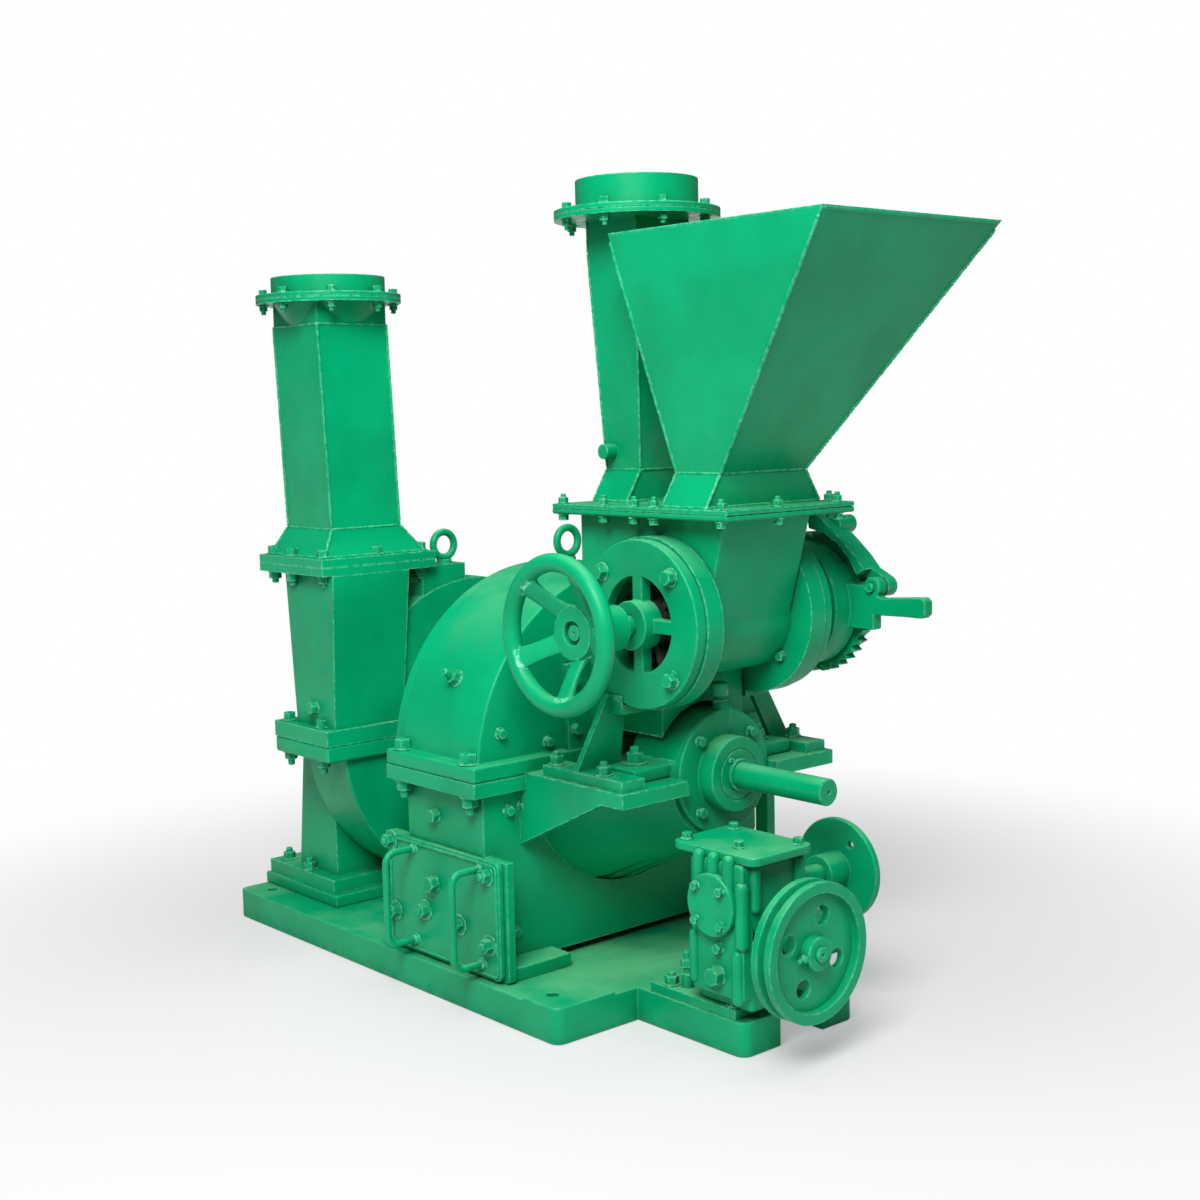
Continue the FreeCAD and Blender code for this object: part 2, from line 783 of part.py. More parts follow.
def bearing_bracket():
    """Table cast on the mill's side, with end gussets, a trough under the bearing and a rear leg."""
    root = S.mill_half_width
    under = TABLE_Z - S.table_thickness
    wall_top = SHAFT_Z - S.mill_flange_thickness
    half = S.bracket_half_width
    start = FLANGE_HALF_WIDTH
    pieces = [
        block("BracketTable", (start, BRACKET_REACH), (-half, half), (under, TABLE_Z)),
        block("BracketLeg", (S.leg_back, S.leg_back + S.leg_width), (half - S.leg_thickness, half),
              (S.bed_height, under)),
    ]
    for tag, low in (("Near", -half), ("Far", half - S.gusset_thickness)):
        outline = [(root, wall_top - S.gusset_depth), (BRACKET_REACH - S.gusset_setback, under),
                   (start, under), (start, wall_top), (root, wall_top)]
        pieces.append(prism(f"BracketGusset{tag}", "XZ_Plane", outline, low, low + S.gusset_thickness))
    trough = taper("BracketTrough", "X", S.trough_root_radius, S.trough_radius, root,
                   S.housing_front, 0, SHAFT_Z)
    below = block("BracketBelow", (root, S.housing_front), (-half, half),
                  (SHAFT_Z - S.trough_root_radius, under))
    below_flange = block("BracketFlangeRoom", (root, start), (-half, half), (wall_top, TABLE_Z))
    bowl = common("BracketBowl", trough, below)
    pieces.append(bowl)
    body = cut("BracketTrimmed", fuse("BracketAll", pieces), below_flange)
    seat = rod("BracketSeat", "X", S.housing_radius, S.housing_back, S.housing_front, 0, SHAFT_Z)
    mouth = rod("BracketMouth", "X", S.cover_radius + S.seat_gap, S.housing_front, BRACKET_REACH + 1,
                0, SHAFT_Z)
    return node("bearing_bracket", cut("BearingBracket", body, fuse("BracketRooms", [seat, mouth])))


def bearing_housing():
    """Round bearing cartridge in the bracket, with a bolted cap foot on each side."""
    barrel = rod("HousingBarrel", "X", S.housing_radius, S.housing_back, S.housing_front, 0, SHAFT_Z)
    foot = block("HousingFoot",
                 (S.housing_back + S.housing_foot_back, S.housing_front - S.housing_foot_front),
                 (-S.housing_foot_half_width, S.housing_foot_half_width),
                 (TABLE_Z, TABLE_Z + S.housing_foot_height))
    bore = rod("HousingBore", "X", S.shaft_radius + S.running_gap, S.housing_back - 1, S.housing_front + 1,
               0, SHAFT_Z)
    return node("bearing_housing", cut("BearingHousing", fuse("HousingAll", [barrel, foot]), bore))


def bearing_cover():
    """End cover of the bearing: bolted disc with a raised ring round the seal."""
    face = S.housing_front + S.cover_thickness
    disc = rod("CoverDisc", "X", S.cover_radius, S.housing_front, face, 0, SHAFT_Z)
    boss = rod("CoverBoss", "X", S.cover_boss_radius, face, COVER_TIP, 0, SHAFT_Z)
    recess = rod("CoverRecess", "X", S.seal_ring_radius + S.seat_gap, COVER_TIP - S.seal_ring_length,
                 COVER_TIP + 1, 0, SHAFT_Z)
    bore = rod("CoverBore", "X", S.shaft_radius + S.running_gap, S.housing_front - 1, COVER_TIP + 1,
               0, SHAFT_Z)
    tools = fuse("CoverTools", [recess, bore])
    return node("bearing_cover", cut("BearingCover", fuse("CoverBody", [disc, boss]), tools))


def grease_cup():
    """Screwed grease cup on a pipe in the top of the bearing housing."""
    x, y = S.housing_front - S.grease_cup_inset, S.grease_cup_y
    surface = SHAFT_Z + S.housing_radius
    base = surface + S.grease_pipe_length
    pipe = rod("GreasePipe", "Z", S.grease_pipe_radius, surface - S.grease_pipe_length, base, x, y)
    cup = rod("GreaseCupBody", "Z", S.grease_cup_radius, base, base + S.grease_cup_height, x, y)
    room = rod("GreaseRoom", "X", S.housing_radius, S.housing_back, S.housing_front, 0, SHAFT_Z)
    return node("grease_cup", cut("GreaseCup", fuse("GreaseAll", [pipe, cup]), room))


def main_shaft():
    """Drive shaft of the mill, from inside the bearing to its free end, with the seal ring."""
    shoulder_end = COVER_TIP + S.shaft_shoulder_length
    shaft = rod("ShaftBar", "X", S.shaft_radius, S.housing_back, shoulder_end + S.shaft_free_length,
                0, SHAFT_Z)
    ring = rod("ShaftSealRing", "X", S.seal_ring_radius, COVER_TIP - S.seal_ring_length + S.seat_gap,
               COVER_TIP, 0, SHAFT_Z)
    shoulder = rod("ShaftShoulder", "X", S.shaft_shoulder_radius, COVER_TIP, shoulder_end, 0, SHAFT_Z)
    return node("main_shaft", fuse("MainShaft", [shaft, ring, shoulder]))


def blower_box_flange(name, low, high):
    return block(name, (-S.blower_flange_back, -S.blower_flange_front),
                 (-S.blower_flange_near, S.blower_flange_far), (low, high))


def blower_lower_casing():
    """Lower half of the blower scroll with its joint flange."""
    scroll = rod("ScrollLowDrum", "X", S.blower_low_radius, -S.blower_back, -S.blower_front, 0, SHAFT_Z)
    flange_low = SHAFT_Z - S.blower_flange_thickness
    below = block("ScrollLowRoom", (-S.blower_back, -S.blower_front),
                  (-S.blower_low_radius, S.blower_low_radius), (SHAFT_Z - S.blower_low_radius, flange_low))
    half = common("ScrollLow", scroll, below)
    flange = blower_box_flange("BlowerLowFlange", flange_low, SHAFT_Z)
    return node("blower_lower_casing", fuse("BlowerLowerCasing", [half, flange]))


def neck_boxes():
    bottom = (-S.neck_bottom_back, -S.neck_bottom_front, -S.neck_bottom_near, -S.neck_bottom_far)
    top = (-S.neck_top_back, -S.neck_top_front, -S.neck_top_near, -S.neck_top_far)
    return bottom, top


def blower_upper_casing():
    """Upper half of the blower scroll, its rising neck and the outlet flange."""
    flange_top = SHAFT_Z + S.blower_flange_thickness
    drum = rod("ScrollHighDrum", "X", S.blower_high_radius, -S.blower_back, -S.blower_front, 0, SHAFT_Z)
    above = block("ScrollHighRoom", (-S.blower_back, -S.blower_front),
                  (-S.blower_high_radius, S.blower_high_radius),
                  (flange_top, SHAFT_Z + S.blower_high_radius))
    half = common("ScrollHigh", drum, above)
    flange = blower_box_flange("BlowerHighFlange", SHAFT_Z, flange_top)
    bottom, top = neck_boxes()
    neck = frustum("BlowerNeck", bottom, flange_top, top, OUTLET_Z)
    outlet = block("OutletFlange", (-S.outlet_flange_back, -S.outlet_flange_front),
                   (-S.outlet_flange_near, -S.outlet_flange_far),
                   (OUTLET_Z, OUTLET_Z + S.outlet_flange_thickness))
    lug_front = -S.blower_front - S.lug_inset
    lug = block("LiftingLug", (lug_front - S.lug_length, lug_front), (-S.lug_near, -S.lug_far),
                (SHAFT_Z + S.blower_high_radius / 2, LUG_TOP))
    solid = fuse("BlowerUpperSolid", [half, flange, neck, outlet, lug])
    well_low = grown(bottom, -S.sheet)
    well_high = grown(top, -S.sheet)
    well = frustum("BlowerWell", well_low, flange_top + S.sheet, well_high,
                   OUTLET_Z + S.outlet_flange_thickness)
    return node("blower_upper_casing", cut("BlowerUpperCasing", solid, well))


def outlet_duct():
    """Square sheet duct on the blower outlet, from its foot to the round throat."""
    foot_low = OUTLET_Z + S.outlet_flange_thickness
    foot_top = foot_low + S.outlet_flange_thickness
    body_low = foot_top + S.duct_foot_height
    body_top = body_low + S.duct_height
    throat_top = body_top + S.duct_throat_height
    body_box = (-S.duct_back, -S.duct_front, -S.duct_near, -S.duct_far)
    lean = S.duct_lean
    high_box = (-S.duct_back - lean, -S.duct_front - lean, -S.duct_near - lean, -S.duct_far - lean)
    foot_box = (-S.outlet_flange_back + S.duct_foot_inset, -S.outlet_flange_front - S.duct_foot_inset,
                -S.outlet_flange_near + S.duct_foot_inset, -S.outlet_flange_far - S.duct_foot_inset)
    plate = block("DuctFootPlate", (-S.outlet_flange_back, -S.outlet_flange_front),
                  (-S.outlet_flange_near, -S.outlet_flange_far), (foot_low, foot_top))
    outer = [plate, frustum("DuctFoot", foot_box, foot_top, body_box, body_low),
             frustum("DuctBody", body_box, body_low, high_box, body_top)]
    x = -(S.duct_back + S.duct_front) / 2 - lean
    y = -(S.duct_near + S.duct_far) / 2 - lean
    half_side = (S.duct_back - S.duct_front) / 2
    outer.append(taper("DuctThroat", "Z", half_side, S.collar_radius - S.sheet, body_top, throat_top, x, y))
    outer.append(frustum("DuctThroatCorners", high_box, body_top, high_box, throat_top))
    flange_top = throat_top + S.collar_flange_thickness
    outer.append(rod("DuctTopFlange", "Z", S.collar_flange_radius, throat_top, flange_top, x, y))
    well = [frustum("DuctFootWell", grown(foot_box, -S.sheet), foot_low, grown(body_box, -S.sheet), body_low),
            frustum("DuctBodyWell", grown(body_box, -S.sheet), body_low, grown(high_box, -S.sheet), body_top),
            taper("DuctThroatWell", "Z", half_side - S.sheet, S.collar_radius - 2 * S.sheet, body_top,
                  throat_top, x, y),
            rod("DuctTopWell", "Z", S.collar_radius - 2 * S.sheet, throat_top, flange_top, x, y)]
    duct = cut("OutletDuct", fuse("DuctOuter", outer), fuse("DuctWell", well))
    node("outlet_duct", duct)
    return x, y, flange_top


def collar(label, x, y, low, height, flange_radius):
    """Round flanged spigot, rolled from sheet."""
    flange = rod(f"{label}_flange", "Z", flange_radius, low, low + S.collar_flange_thickness, x, y)
    tube = rod(f"{label}_tube", "Z", S.collar_radius, low, low + height, x, y)
    well = rod(f"{label}_well", "Z", S.collar_radius - S.sheet, low - 1, low + height + 1, x, y)
    return node(label, cut(f"{label}_ring", fuse(f"{label}_outer", [flange, tube]), well))


def eyebolt(label, x, y, low):
    """Lifting eye on a collar, standing on its lug."""
    shank = rod(f"{label}_collar", "Z", S.eyebolt_rod + S.eyebolt_collar, low, low + S.eyebolt_collar, x, y)
    ring = doc.addObject("Part::Torus", f"{label}_eye")
    bind(ring, "Radius1", S.eyebolt_ring)
    bind(ring, "Radius2", S.eyebolt_rod)
    ring.Placement.Rotation = TURNS["X"]
    place(ring, x, y, low + S.eyebolt_collar + S.eyebolt_ring + S.eyebolt_rod / 2)
    return node(label, fuse(f"{label}_bolt", [shank, ring]))


def outboard_pedestal():
    """Riser, foot plate and tapered stand under the blower's outer side."""
    riser_top = S.bed_height + S.riser_thickness
    riser = block("RiserBlock", (-S.bed_back, -S.riser_front), (-S.riser_half_width, S.riser_half_width),
                  (S.bed_height, riser_top))
    node("pedestal_riser", riser)
    foot_top = riser_top + S.pedestal_foot_thickness
    foot = block("PedestalFoot", (-S.pedestal_foot_back, -S.pedestal_foot_front),
                 (-S.pedestal_foot_half_width, S.pedestal_foot_half_width), (riser_top, foot_top))
    half = S.pedestal_half_width
    top = SHAFT_Z - S.pedestal_drop
    end = -S.pedestal_top_back - S.outboard_boss_reach
    low_box = (-S.outboard_back, -S.pedestal_front, -half, half)
    high_box = (-S.pedestal_top_back, -S.pedestal_front, -half, half)
    column = frustum("PedestalColumn", low_box, foot_top, high_box, top)
    boss = rod("OutboardBoss", "X", S.outboard_radius, end, -S.pedestal_front, 0, SHAFT_Z)
    web = block("OutboardWeb", (-S.pedestal_top_back, -S.pedestal_front),
                (-S.outboard_radius, S.outboard_radius), (top, SHAFT_Z))
    clear = block("PedestalFlangeRoom", (-S.blower_flange_back - 1, -S.blower_flange_front),
                  (-S.blower_flange_near, S.blower_flange_far),
                  (SHAFT_Z - S.blower_flange_thickness, SHAFT_Z + S.blower_flange_thickness))
    scroll = rod("PedestalScrollRoom", "X", S.blower_low_radius, -S.blower_back, -S.blower_front,
                 0, SHAFT_Z)
    solid = fuse("PedestalAll", [foot, column, boss, web])
    rooms = fuse("PedestalRooms", [clear, scroll])
    node("blower_pedestal", cut("BlowerPedestal", solid, rooms))
    face = end - S.cover_thickness
    cover = rod("OutboardDisc", "X", S.outboard_cover_radius, face, end, 0, SHAFT_Z)
    cap = rod("OutboardCap", "X", S.cover_boss_radius, face - S.outboard_cap_length, face, 0, SHAFT_Z)
    return node("outboard_cover", fuse("OutboardCover", [cover, cap]))


def feeder_barrel():
    """Feeder casing: barrel across the machine, the tapering box over it and the top plate."""
    half = S.barrel_half_length
    x, z = S.feeder_x, FEEDER_Z
    radius = S.barrel_radius
    shoulder = radius * S.shoulder_share
    floor_half = radius * S.throat_share
    pieces = [rod("BarrelTube", "Y", radius, -half, half, x, z)]
    for tag, low in (("Near", -half), ("Far", half - S.barrel_flange_thickness)):
        pieces.append(rod(f"BarrelFlange{tag}", "Y", S.barrel_flange_radius, low,
                          low + S.barrel_flange_thickness, x, z))
    box_half = S.feed_box_half_width
    outline = [
        (S.feed_box_back, FEED_PLATE_Z), (S.feed_box_back, z - S.feed_box_drop), (x, z - shoulder),
        (x + radius, z), (S.feed_box_front, FEED_PLATE_Z),
    ]
    pieces.append(prism("FeedBox", "XZ_Plane", outline, -box_half, box_half))
    pieces.append(block("FeedPlate", (S.feed_plate_back, S.feed_plate_front),
                        (-S.feed_plate_near, S.feed_plate_far), (FEED_PLATE_Z, FEED_PLATE_TOP)))
    wall = S.barrel_wall
    bore = rod("BarrelBore", "Y", radius - wall, -half - 1, half + 1, x, z)
    inner = box_half - wall
    roof = (S.throat_back, S.throat_front, -inner, inner)
    floor = (x - floor_half, x + floor_half, -inner, inner)
    throat = frustum("BarrelThroat", floor, z, roof, FEED_PLATE_TOP + 1)
    vent_half = S.vent_half_width - wall
    vent_roof = (S.feed_box_back + wall, S.vent_x + vent_half, S.vent_y - vent_half, S.vent_y + vent_half)
    vent_floor = (x - floor_half, x, S.vent_y - vent_half, S.vent_y + vent_half)
    vent = frustum("BarrelVent", vent_floor, z, vent_roof, FEED_PLATE_TOP + 1)
    return node("feeder_barrel", cut("FeederBarrel", fuse("FeederOuter", pieces),
                                     fuse("FeederRooms", [bore, throat, vent])))


def feeder_end_cover(label, side):
    """Open spider cover: bolted ring, four arms and a long shaft boss."""
    x, z = S.feeder_x, FEEDER_Z
    inner = side * S.barrel_half_length
    outer = side * (S.barrel_half_length + S.end_cover_thickness)
    tip = side * (S.barrel_half_length + S.spider_boss_length)
    ends = (inner, outer) if side > 0 else (outer, inner)
    boss_ends = (inner, tip) if side > 0 else (tip, inner)
    ring = cut(f"{label}_ring", rod(f"{label}_disc", "Y", END_COVER_RADIUS, *ends, x, z),
               rod(f"{label}_window", "Y", S.window_radius, ends[0] - 1, ends[1] + 1, x, z))
    half_arm = S.spider_arm_width / 2
    reach = S.window_radius + S.spider_arm_overlap
    arms = [block(f"{label}_arm_x", (x - reach, x + reach), ends, (z - half_arm, z + half_arm)),
            block(f"{label}_arm_z", (x - half_arm, x + half_arm), ends, (z - reach, z + reach))]
    boss = rod(f"{label}_boss", "Y", S.spider_boss_radius, *boss_ends, x, z)
    bore = rod(f"{label}_bore", "Y", S.feeder_shaft_radius + S.running_gap, boss_ends[0] - 1,
               boss_ends[1] + 1, x, z)
    return node(label, cut(f"{label}_spider", fuse(f"{label}_solid", [ring, boss] + arms), bore))


def feeder_shaft():
    near = -(S.handwheel_plane - S.handwheel_hub_set_back + S.feeder_shaft_near)
    far = S.ratchet_plane + S.ratchet_width / 2 + S.feeder_shaft_far
    bar = rod("FeederShaftBar", "Y", S.feeder_shaft_radius, near, far, S.feeder_x, FEEDER_Z)
    return node("feeder_shaft", bar)


def feed_roller():
    """Star roller on the feeder shaft, seen through the throat."""
    half = S.barrel_half_length - S.barrel_wall
    hub = rod("RollerHub", "Y", S.roller_hub_radius, -half, half, S.feeder_x, FEEDER_Z)
    bore = rod("RollerBore", "Y", S.feeder_shaft_radius, -half - 1, half + 1, S.feeder_x, FEEDER_Z)
    pieces = [hub]
    for i in range(SIZES["vane_count"]):
        vane = doc.addObject("Part::Box", f"RollerVane{i}")
        bind(vane, "Length", S.roller_radius)
        bind(vane, "Width", 2 * half)
        bind(vane, "Height", S.vane_thickness)
        angle = 360 / SIZES["vane_count"] * i + SIZES["roller_turn"]
        spin = FreeCAD.Rotation(FreeCAD.Vector(0, 1, 0), angle)
        vane.Placement.Rotation = spin
        offset = spin.multVec(FreeCAD.Vector(0, 0, 1))
        place(vane, S.feeder_x - S.vane_thickness * (offset.x / 2), -half,
              FEEDER_Z - S.vane_thickness * (offset.z / 2))
        pieces.append(vane)
    return node("feed_roller", cut("FeedRoller", fuse("RollerAll", pieces), bore))


def handwheel():
    """Cast handwheel: round rim, broad spokes, a hub set back from the rim and its long sleeve."""
    body = new_body("Handwheel")
    rim_sketch = sketch_on(body, "XY_Plane", "Handwheel_rim_section")
    draw_circle(rim_sketch, (0, S.handwheel_radius), S.handwheel_rim)
    rim = body.newObject("PartDesign::Revolution", "Handwheel_rim")
    rim.Profile = rim_sketch
    rim.ReferenceAxis = (rim_sketch, ["H_Axis"])
    rim.Angle = 360
    hub_sketch = sketch_on(body, "XY_Plane", "Handwheel_hub_section")
    back = S.handwheel_hub_set_back + S.handwheel_hub_length
    front = S.handwheel_hub_set_back
    bore = S.feeder_shaft_radius
    sleeve, sleeve_end = S.handwheel_sleeve_radius, back + S.handwheel_sleeve_length
    draw_outline(hub_sketch, [(front, bore), (sleeve_end, bore), (sleeve_end, sleeve), (back, sleeve),
                              (back, S.handwheel_hub_radius), (front, S.handwheel_hub_radius)])
    hub = body.newObject("PartDesign::Revolution", "Handwheel_hub")
    hub.Profile = hub_sketch
    hub.ReferenceAxis = (hub_sketch, ["H_Axis"])
    hub.Angle = 360
    spoke_sketch = sketch_on(body, "XY_Plane", "Handwheel_spoke_section")
    half = S.spoke_thickness / 2
    inner = S.handwheel_hub_radius - S.spoke_overlap
    outer = S.handwheel_radius - S.handwheel_rim / 2
    middle = front + S.spoke_set_back
    spoke_outline = [(middle - half, inner), (middle + half, inner), (half, outer), (-half, outer)]
    draw_outline(spoke_sketch, spoke_outline)
    spoke_sketch.AttachmentOffset = FreeCAD.Placement(FreeCAD.Vector(), FreeCAD.Rotation(X_AXIS, 1))
    bind(spoke_sketch, "AttachmentOffset.Rotation.Angle", S.handwheel_turn)
    spoke = body.newObject("PartDesign::Pad", "Handwheel_spoke")
    spoke.Profile = spoke_sketch
    bind(spoke, "Length", S.spoke_width)
    spoke.Midplane = True
    pattern = body.newObject("PartDesign::PolarPattern", "Handwheel_spokes")
    pattern.Originals = [spoke]
    pattern.Axis = (rim_sketch, ["H_Axis"])
    pattern.Angle = 360
    bind(pattern, "Occurrences", S.spoke_count)
    body.Tip = pattern
    body.Placement.Rotation = FreeCAD.Rotation(FreeCAD.Vector(0, 0, 1), 90)
    place(body, S.feeder_x, -S.handwheel_plane, FEEDER_Z)
    return node("handwheel", body)


def ratchet_wheel():
    """Toothed wheel on the far end of the feeder shaft."""
    body = new_body("RatchetWheel")
    disc_sketch = sketch_on(body, "XZ_Plane", "RatchetWheel_disc")
    draw_circle(disc_sketch, (0, 0), S.ratchet_root_radius)
    disc = body.newObject("PartDesign::Pad", "RatchetWheel_blank")
    disc.Profile = disc_sketch
    bind(disc, "Length", S.ratchet_width)
    tooth_sketch = sketch_on(body, "XZ_Plane", "RatchetWheel_tooth")
    pitch = S.ratchet_root_radius * math.tau / S.ratchet_teeth
    root = S.ratchet_root_radius - S.ratchet_tooth_depth
    tooth_width = pitch * S.ratchet_tooth_share
    draw_outline(tooth_sketch, [(0, root), (tooth_width, root), (0, S.ratchet_radius)])
    tooth = body.newObject("PartDesign::Pad", "RatchetWheel_one")
    tooth.Profile = tooth_sketch
    bind(tooth, "Length", S.ratchet_width)
    polar_copies(body, tooth, "RatchetWheel_teeth", disc_sketch, S.ratchet_teeth)
    hub_sketch = sketch_on(body, "XZ_Plane", "RatchetWheel_hub")
    draw_circle(hub_sketch, (0, 0), S.ratchet_hub_radius)
    hub = body.newObject("PartDesign::Pad", "RatchetWheel_boss")
    hub.Profile = hub_sketch
    hub.Reversed = True
    bind(hub, "Length", S.ratchet_hub_rise)
    bore_sketch = sketch_on(body, "XZ_Plane", "RatchetWheel_bore")
    draw_circle(bore_sketch, (0, 0), S.feeder_shaft_radius)
    eye = pocket_through(body, bore_sketch, "RatchetWheel_eye", 2 * (S.ratchet_width + S.ratchet_hub_rise))
    eye.Midplane = True
    place(body, S.feeder_x, S.ratchet_plane + S.ratchet_width / 2, FEEDER_Z)
    return node("ratchet_wheel", body)


def ratchet_lever():
    """Lever swinging on the feeder shaft: a drum, a broad head for the pawl and a tongue."""
    x, z = S.feeder_x, FEEDER_Z
    low = S.lever_plane - S.lever_thickness / 2
    high = S.lever_plane + S.lever_thickness / 2
    drum = rod("LeverDrum", "Y", S.lever_drum_radius, S.lever_drum_near, high, x, z)
    front = x + S.lever_reach
    lip = PAWL_X + S.head_lip
    tip = S.tongue_tip
    outline = [
        (x, z - S.head_low), (lip, z - S.head_low), (lip, z - S.head_step),
        (front - S.tongue_length, z - S.tongue_low), (front - tip, z - S.tongue_low),
        (front, z - S.tongue_low + tip), (front, z + S.tongue_high - tip), (front - tip, z + S.tongue_high),
        (lip + 2 * tip, z + S.tongue_high - tip), (lip, z + S.tongue_high),
        (PAWL_X, z + S.head_high), (x, z + S.head_high),
    ]
    head = prism("LeverHead", "XZ_Plane", outline, low, high)
    ear = rod("LeverEar", "Y", S.pawl_boss_radius, low, high, PAWL_X, PAWL_Z)
    bore = rod("LeverBore", "Y", S.feeder_shaft_radius + S.running_gap, S.lever_drum_near - 1, high + 1, x, z)
    pin_hole = rod("LeverPinHole", "Y", S.pawl_pin_radius, low - 1, high + 1, PAWL_X, PAWL_Z)
    solid = fuse("LeverAll", [drum, head, ear])
    return node("ratchet_lever", cut("RatchetLever", solid, fuse("LeverHoles", [bore, pin_hole])))


# Turn about the feeder shaft in degrees, and thickness over the ratchet's clearance, as a share
PAWL_UNDERSIDE = (85, 70, 55, 40, 25)
PAWL_BACK = ((25.7, 1), (36.9, 0.7), (53, 0.54), (68.3, 0.86), (82, 1.63), (88.1, 1.55))


def about_feeder(turn, radius):
    return on_circle(S.feeder_x, FEEDER_Z, radius, turn)


def pawl():
    """Broad hooked pawl over the ratchet wheel, on its pin in the lever's ear, with a knob."""
    low = S.ratchet_plane - S.ratchet_width / 2
    high = S.ratchet_plane + S.ratchet_width / 2
    x, z = PAWL_X, PAWL_Z
    boss_radius = S.pawl_boss_radius
    boss = rod("PawlBoss", "Y", boss_radius, low, high, x, z)
    pin_start = S.lever_plane - S.lever_thickness / 2 - S.pawl_clearance
    pin = rod("PawlPin", "Y", S.pawl_pin_radius - S.running_gap, pin_start, low, x, z)
    underside = S.ratchet_radius + S.pawl_clearance
    inner = [about_feeder(turn, underside) for turn in PAWL_UNDERSIDE]
    outer = [about_feeder(turn, underside + S.pawl_thickness * share) for turn, share in PAWL_BACK]
    foot = [(x - boss_radius * 0.9, z - boss_radius * 0.4), (x + boss_radius * 0.6, z + boss_radius * 0.8)]
    arm = prism("PawlArm", "XZ_Plane", inner + foot + outer, low, high)
    lip = prism("PawlLip", "XZ_Plane", inner + outer, S.pawl_front, low)
    knob = rod("PawlKnob", "Y", S.pawl_knob_radius, low, high + S.pawl_knob_length,
               *about_feeder(PAWL_UNDERSIDE[1], S.pawl_knob_reach))
    return node("pawl", fuse("Pawl", [boss, pin, arm, lip, knob]))


def throat_box():
    return (S.throat_back, S.throat_front, -S.throat_near, S.throat_far)


def hopper_foot():
    """Bolted flange on the feeder's top plate, and the short spread foot of the hopper."""
    foot_top = DUCT_FLANGE_TOP + S.hopper_foot_height
    spread, wall = S.hopper_foot_spread, S.hopper_sheet
    foot = (S.throat_back, S.throat_front, -S.throat_near - spread, S.throat_far + spread)
    outer = [frustum("HopperFoot", foot, DUCT_FLANGE_TOP, throat_box(), foot_top),
             block("HopperFlange", (S.hopper_flange_back, S.feed_plate_front),
                   (-S.feed_plate_near, S.feed_plate_far), (FEED_PLATE_TOP, DUCT_FLANGE_TOP))]
    inner_foot, inner_throat = grown(foot, -wall), grown(throat_box(), -wall)
    wells = [frustum("HopperFootWell", inner_foot, DUCT_FLANGE_TOP, inner_throat, foot_top),
             block("HopperFlangeWell", (S.throat_back + wall, S.throat_front - wall),
                   (-S.throat_near, S.throat_far), (FEED_PLATE_TOP - 1, DUCT_FLANGE_TOP + 1))]
    sheet_work = cut("HopperFootSheet", fuse("HopperFootOuter", outer), fuse("HopperFootWells", wells))
    return node("hopper_foot", sheet_work)


def hopper():
    """Four-sided sheet hopper, wider to the front and rear, welded on its foot."""
    foot_top = DUCT_FLANGE_TOP + S.hopper_foot_height
    top = DUCT_FLANGE_TOP + S.hopper_height
    mouth = (S.hopper_back, S.hopper_front, -S.hopper_near, S.hopper_far)
    wall = S.hopper_sheet
    outer = frustum("HopperBody", throat_box(), foot_top, mouth, top)
    well = frustum("HopperBodyWell", grown(throat_box(), -wall), foot_top, grown(mouth, -wall), top)
    return node("hopper", cut("Hopper", outer, well))


def vent_duct():
    """Tapered square duct beside the hopper, with a plugged side pipe and a round flange."""
    x, y = S.vent_x, S.vent_y
    half, high_half = S.vent_half_width, S.vent_top_half_width
    foot_top = DUCT_FLANGE_TOP + S.vent_foot_height
    taper_top = DUCT_FLANGE_TOP + S.vent_taper_height
    ring_low = DUCT_FLANGE_TOP + S.vent_height
    ring_top = ring_low + S.collar_flange_thickness
    low_box = (x - half, x + half, y - half, y + half)
    high_box = (x - high_half, x + high_half, y - high_half, y + high_half)
    spread, wall = S.vent_foot_spread, S.sheet
    foot_box = (x - half, x + half, y - half - spread, y + half + spread)
    near_face = y - half
    outer = [block("VentFootFlange", (S.feed_plate_back, S.hopper_flange_back - S.seat_gap),
                   (-S.feed_plate_near, S.feed_plate_far), (FEED_PLATE_TOP, DUCT_FLANGE_TOP)),
             frustum("VentFoot", foot_box, DUCT_FLANGE_TOP, low_box, foot_top),
             frustum("VentBody", low_box, foot_top, high_box, taper_top),
             frustum("VentTop", high_box, taper_top, high_box, ring_low),
             rod("VentFlange", "Z", S.vent_flange_radius, ring_low, ring_top, x, y),
             rod("VentSidePipe", "Y", S.vent_stub_radius, near_face - S.vent_stub_length, near_face + wall,
                 x - half * S.shoulder_share, DUCT_FLANGE_TOP + S.vent_stub_rise)]
    inner_low, inner_high = grown(low_box, -wall), grown(high_box, -wall)
    wells = [frustum("VentFootWell", grown(foot_box, -wall), DUCT_FLANGE_TOP, inner_low, foot_top),
             frustum("VentBodyWell", inner_low, foot_top, inner_high, taper_top),
             frustum("VentTopWell", inner_high, taper_top, inner_high, ring_top + 1),
             frustum("VentFootHole", inner_low, FEED_PLATE_TOP - 1, inner_low, DUCT_FLANGE_TOP + 1)]
    node("vent_duct", cut("VentDuct", fuse("VentOuter", outer), fuse("VentWell", wells)))
    return x, y, ring_top


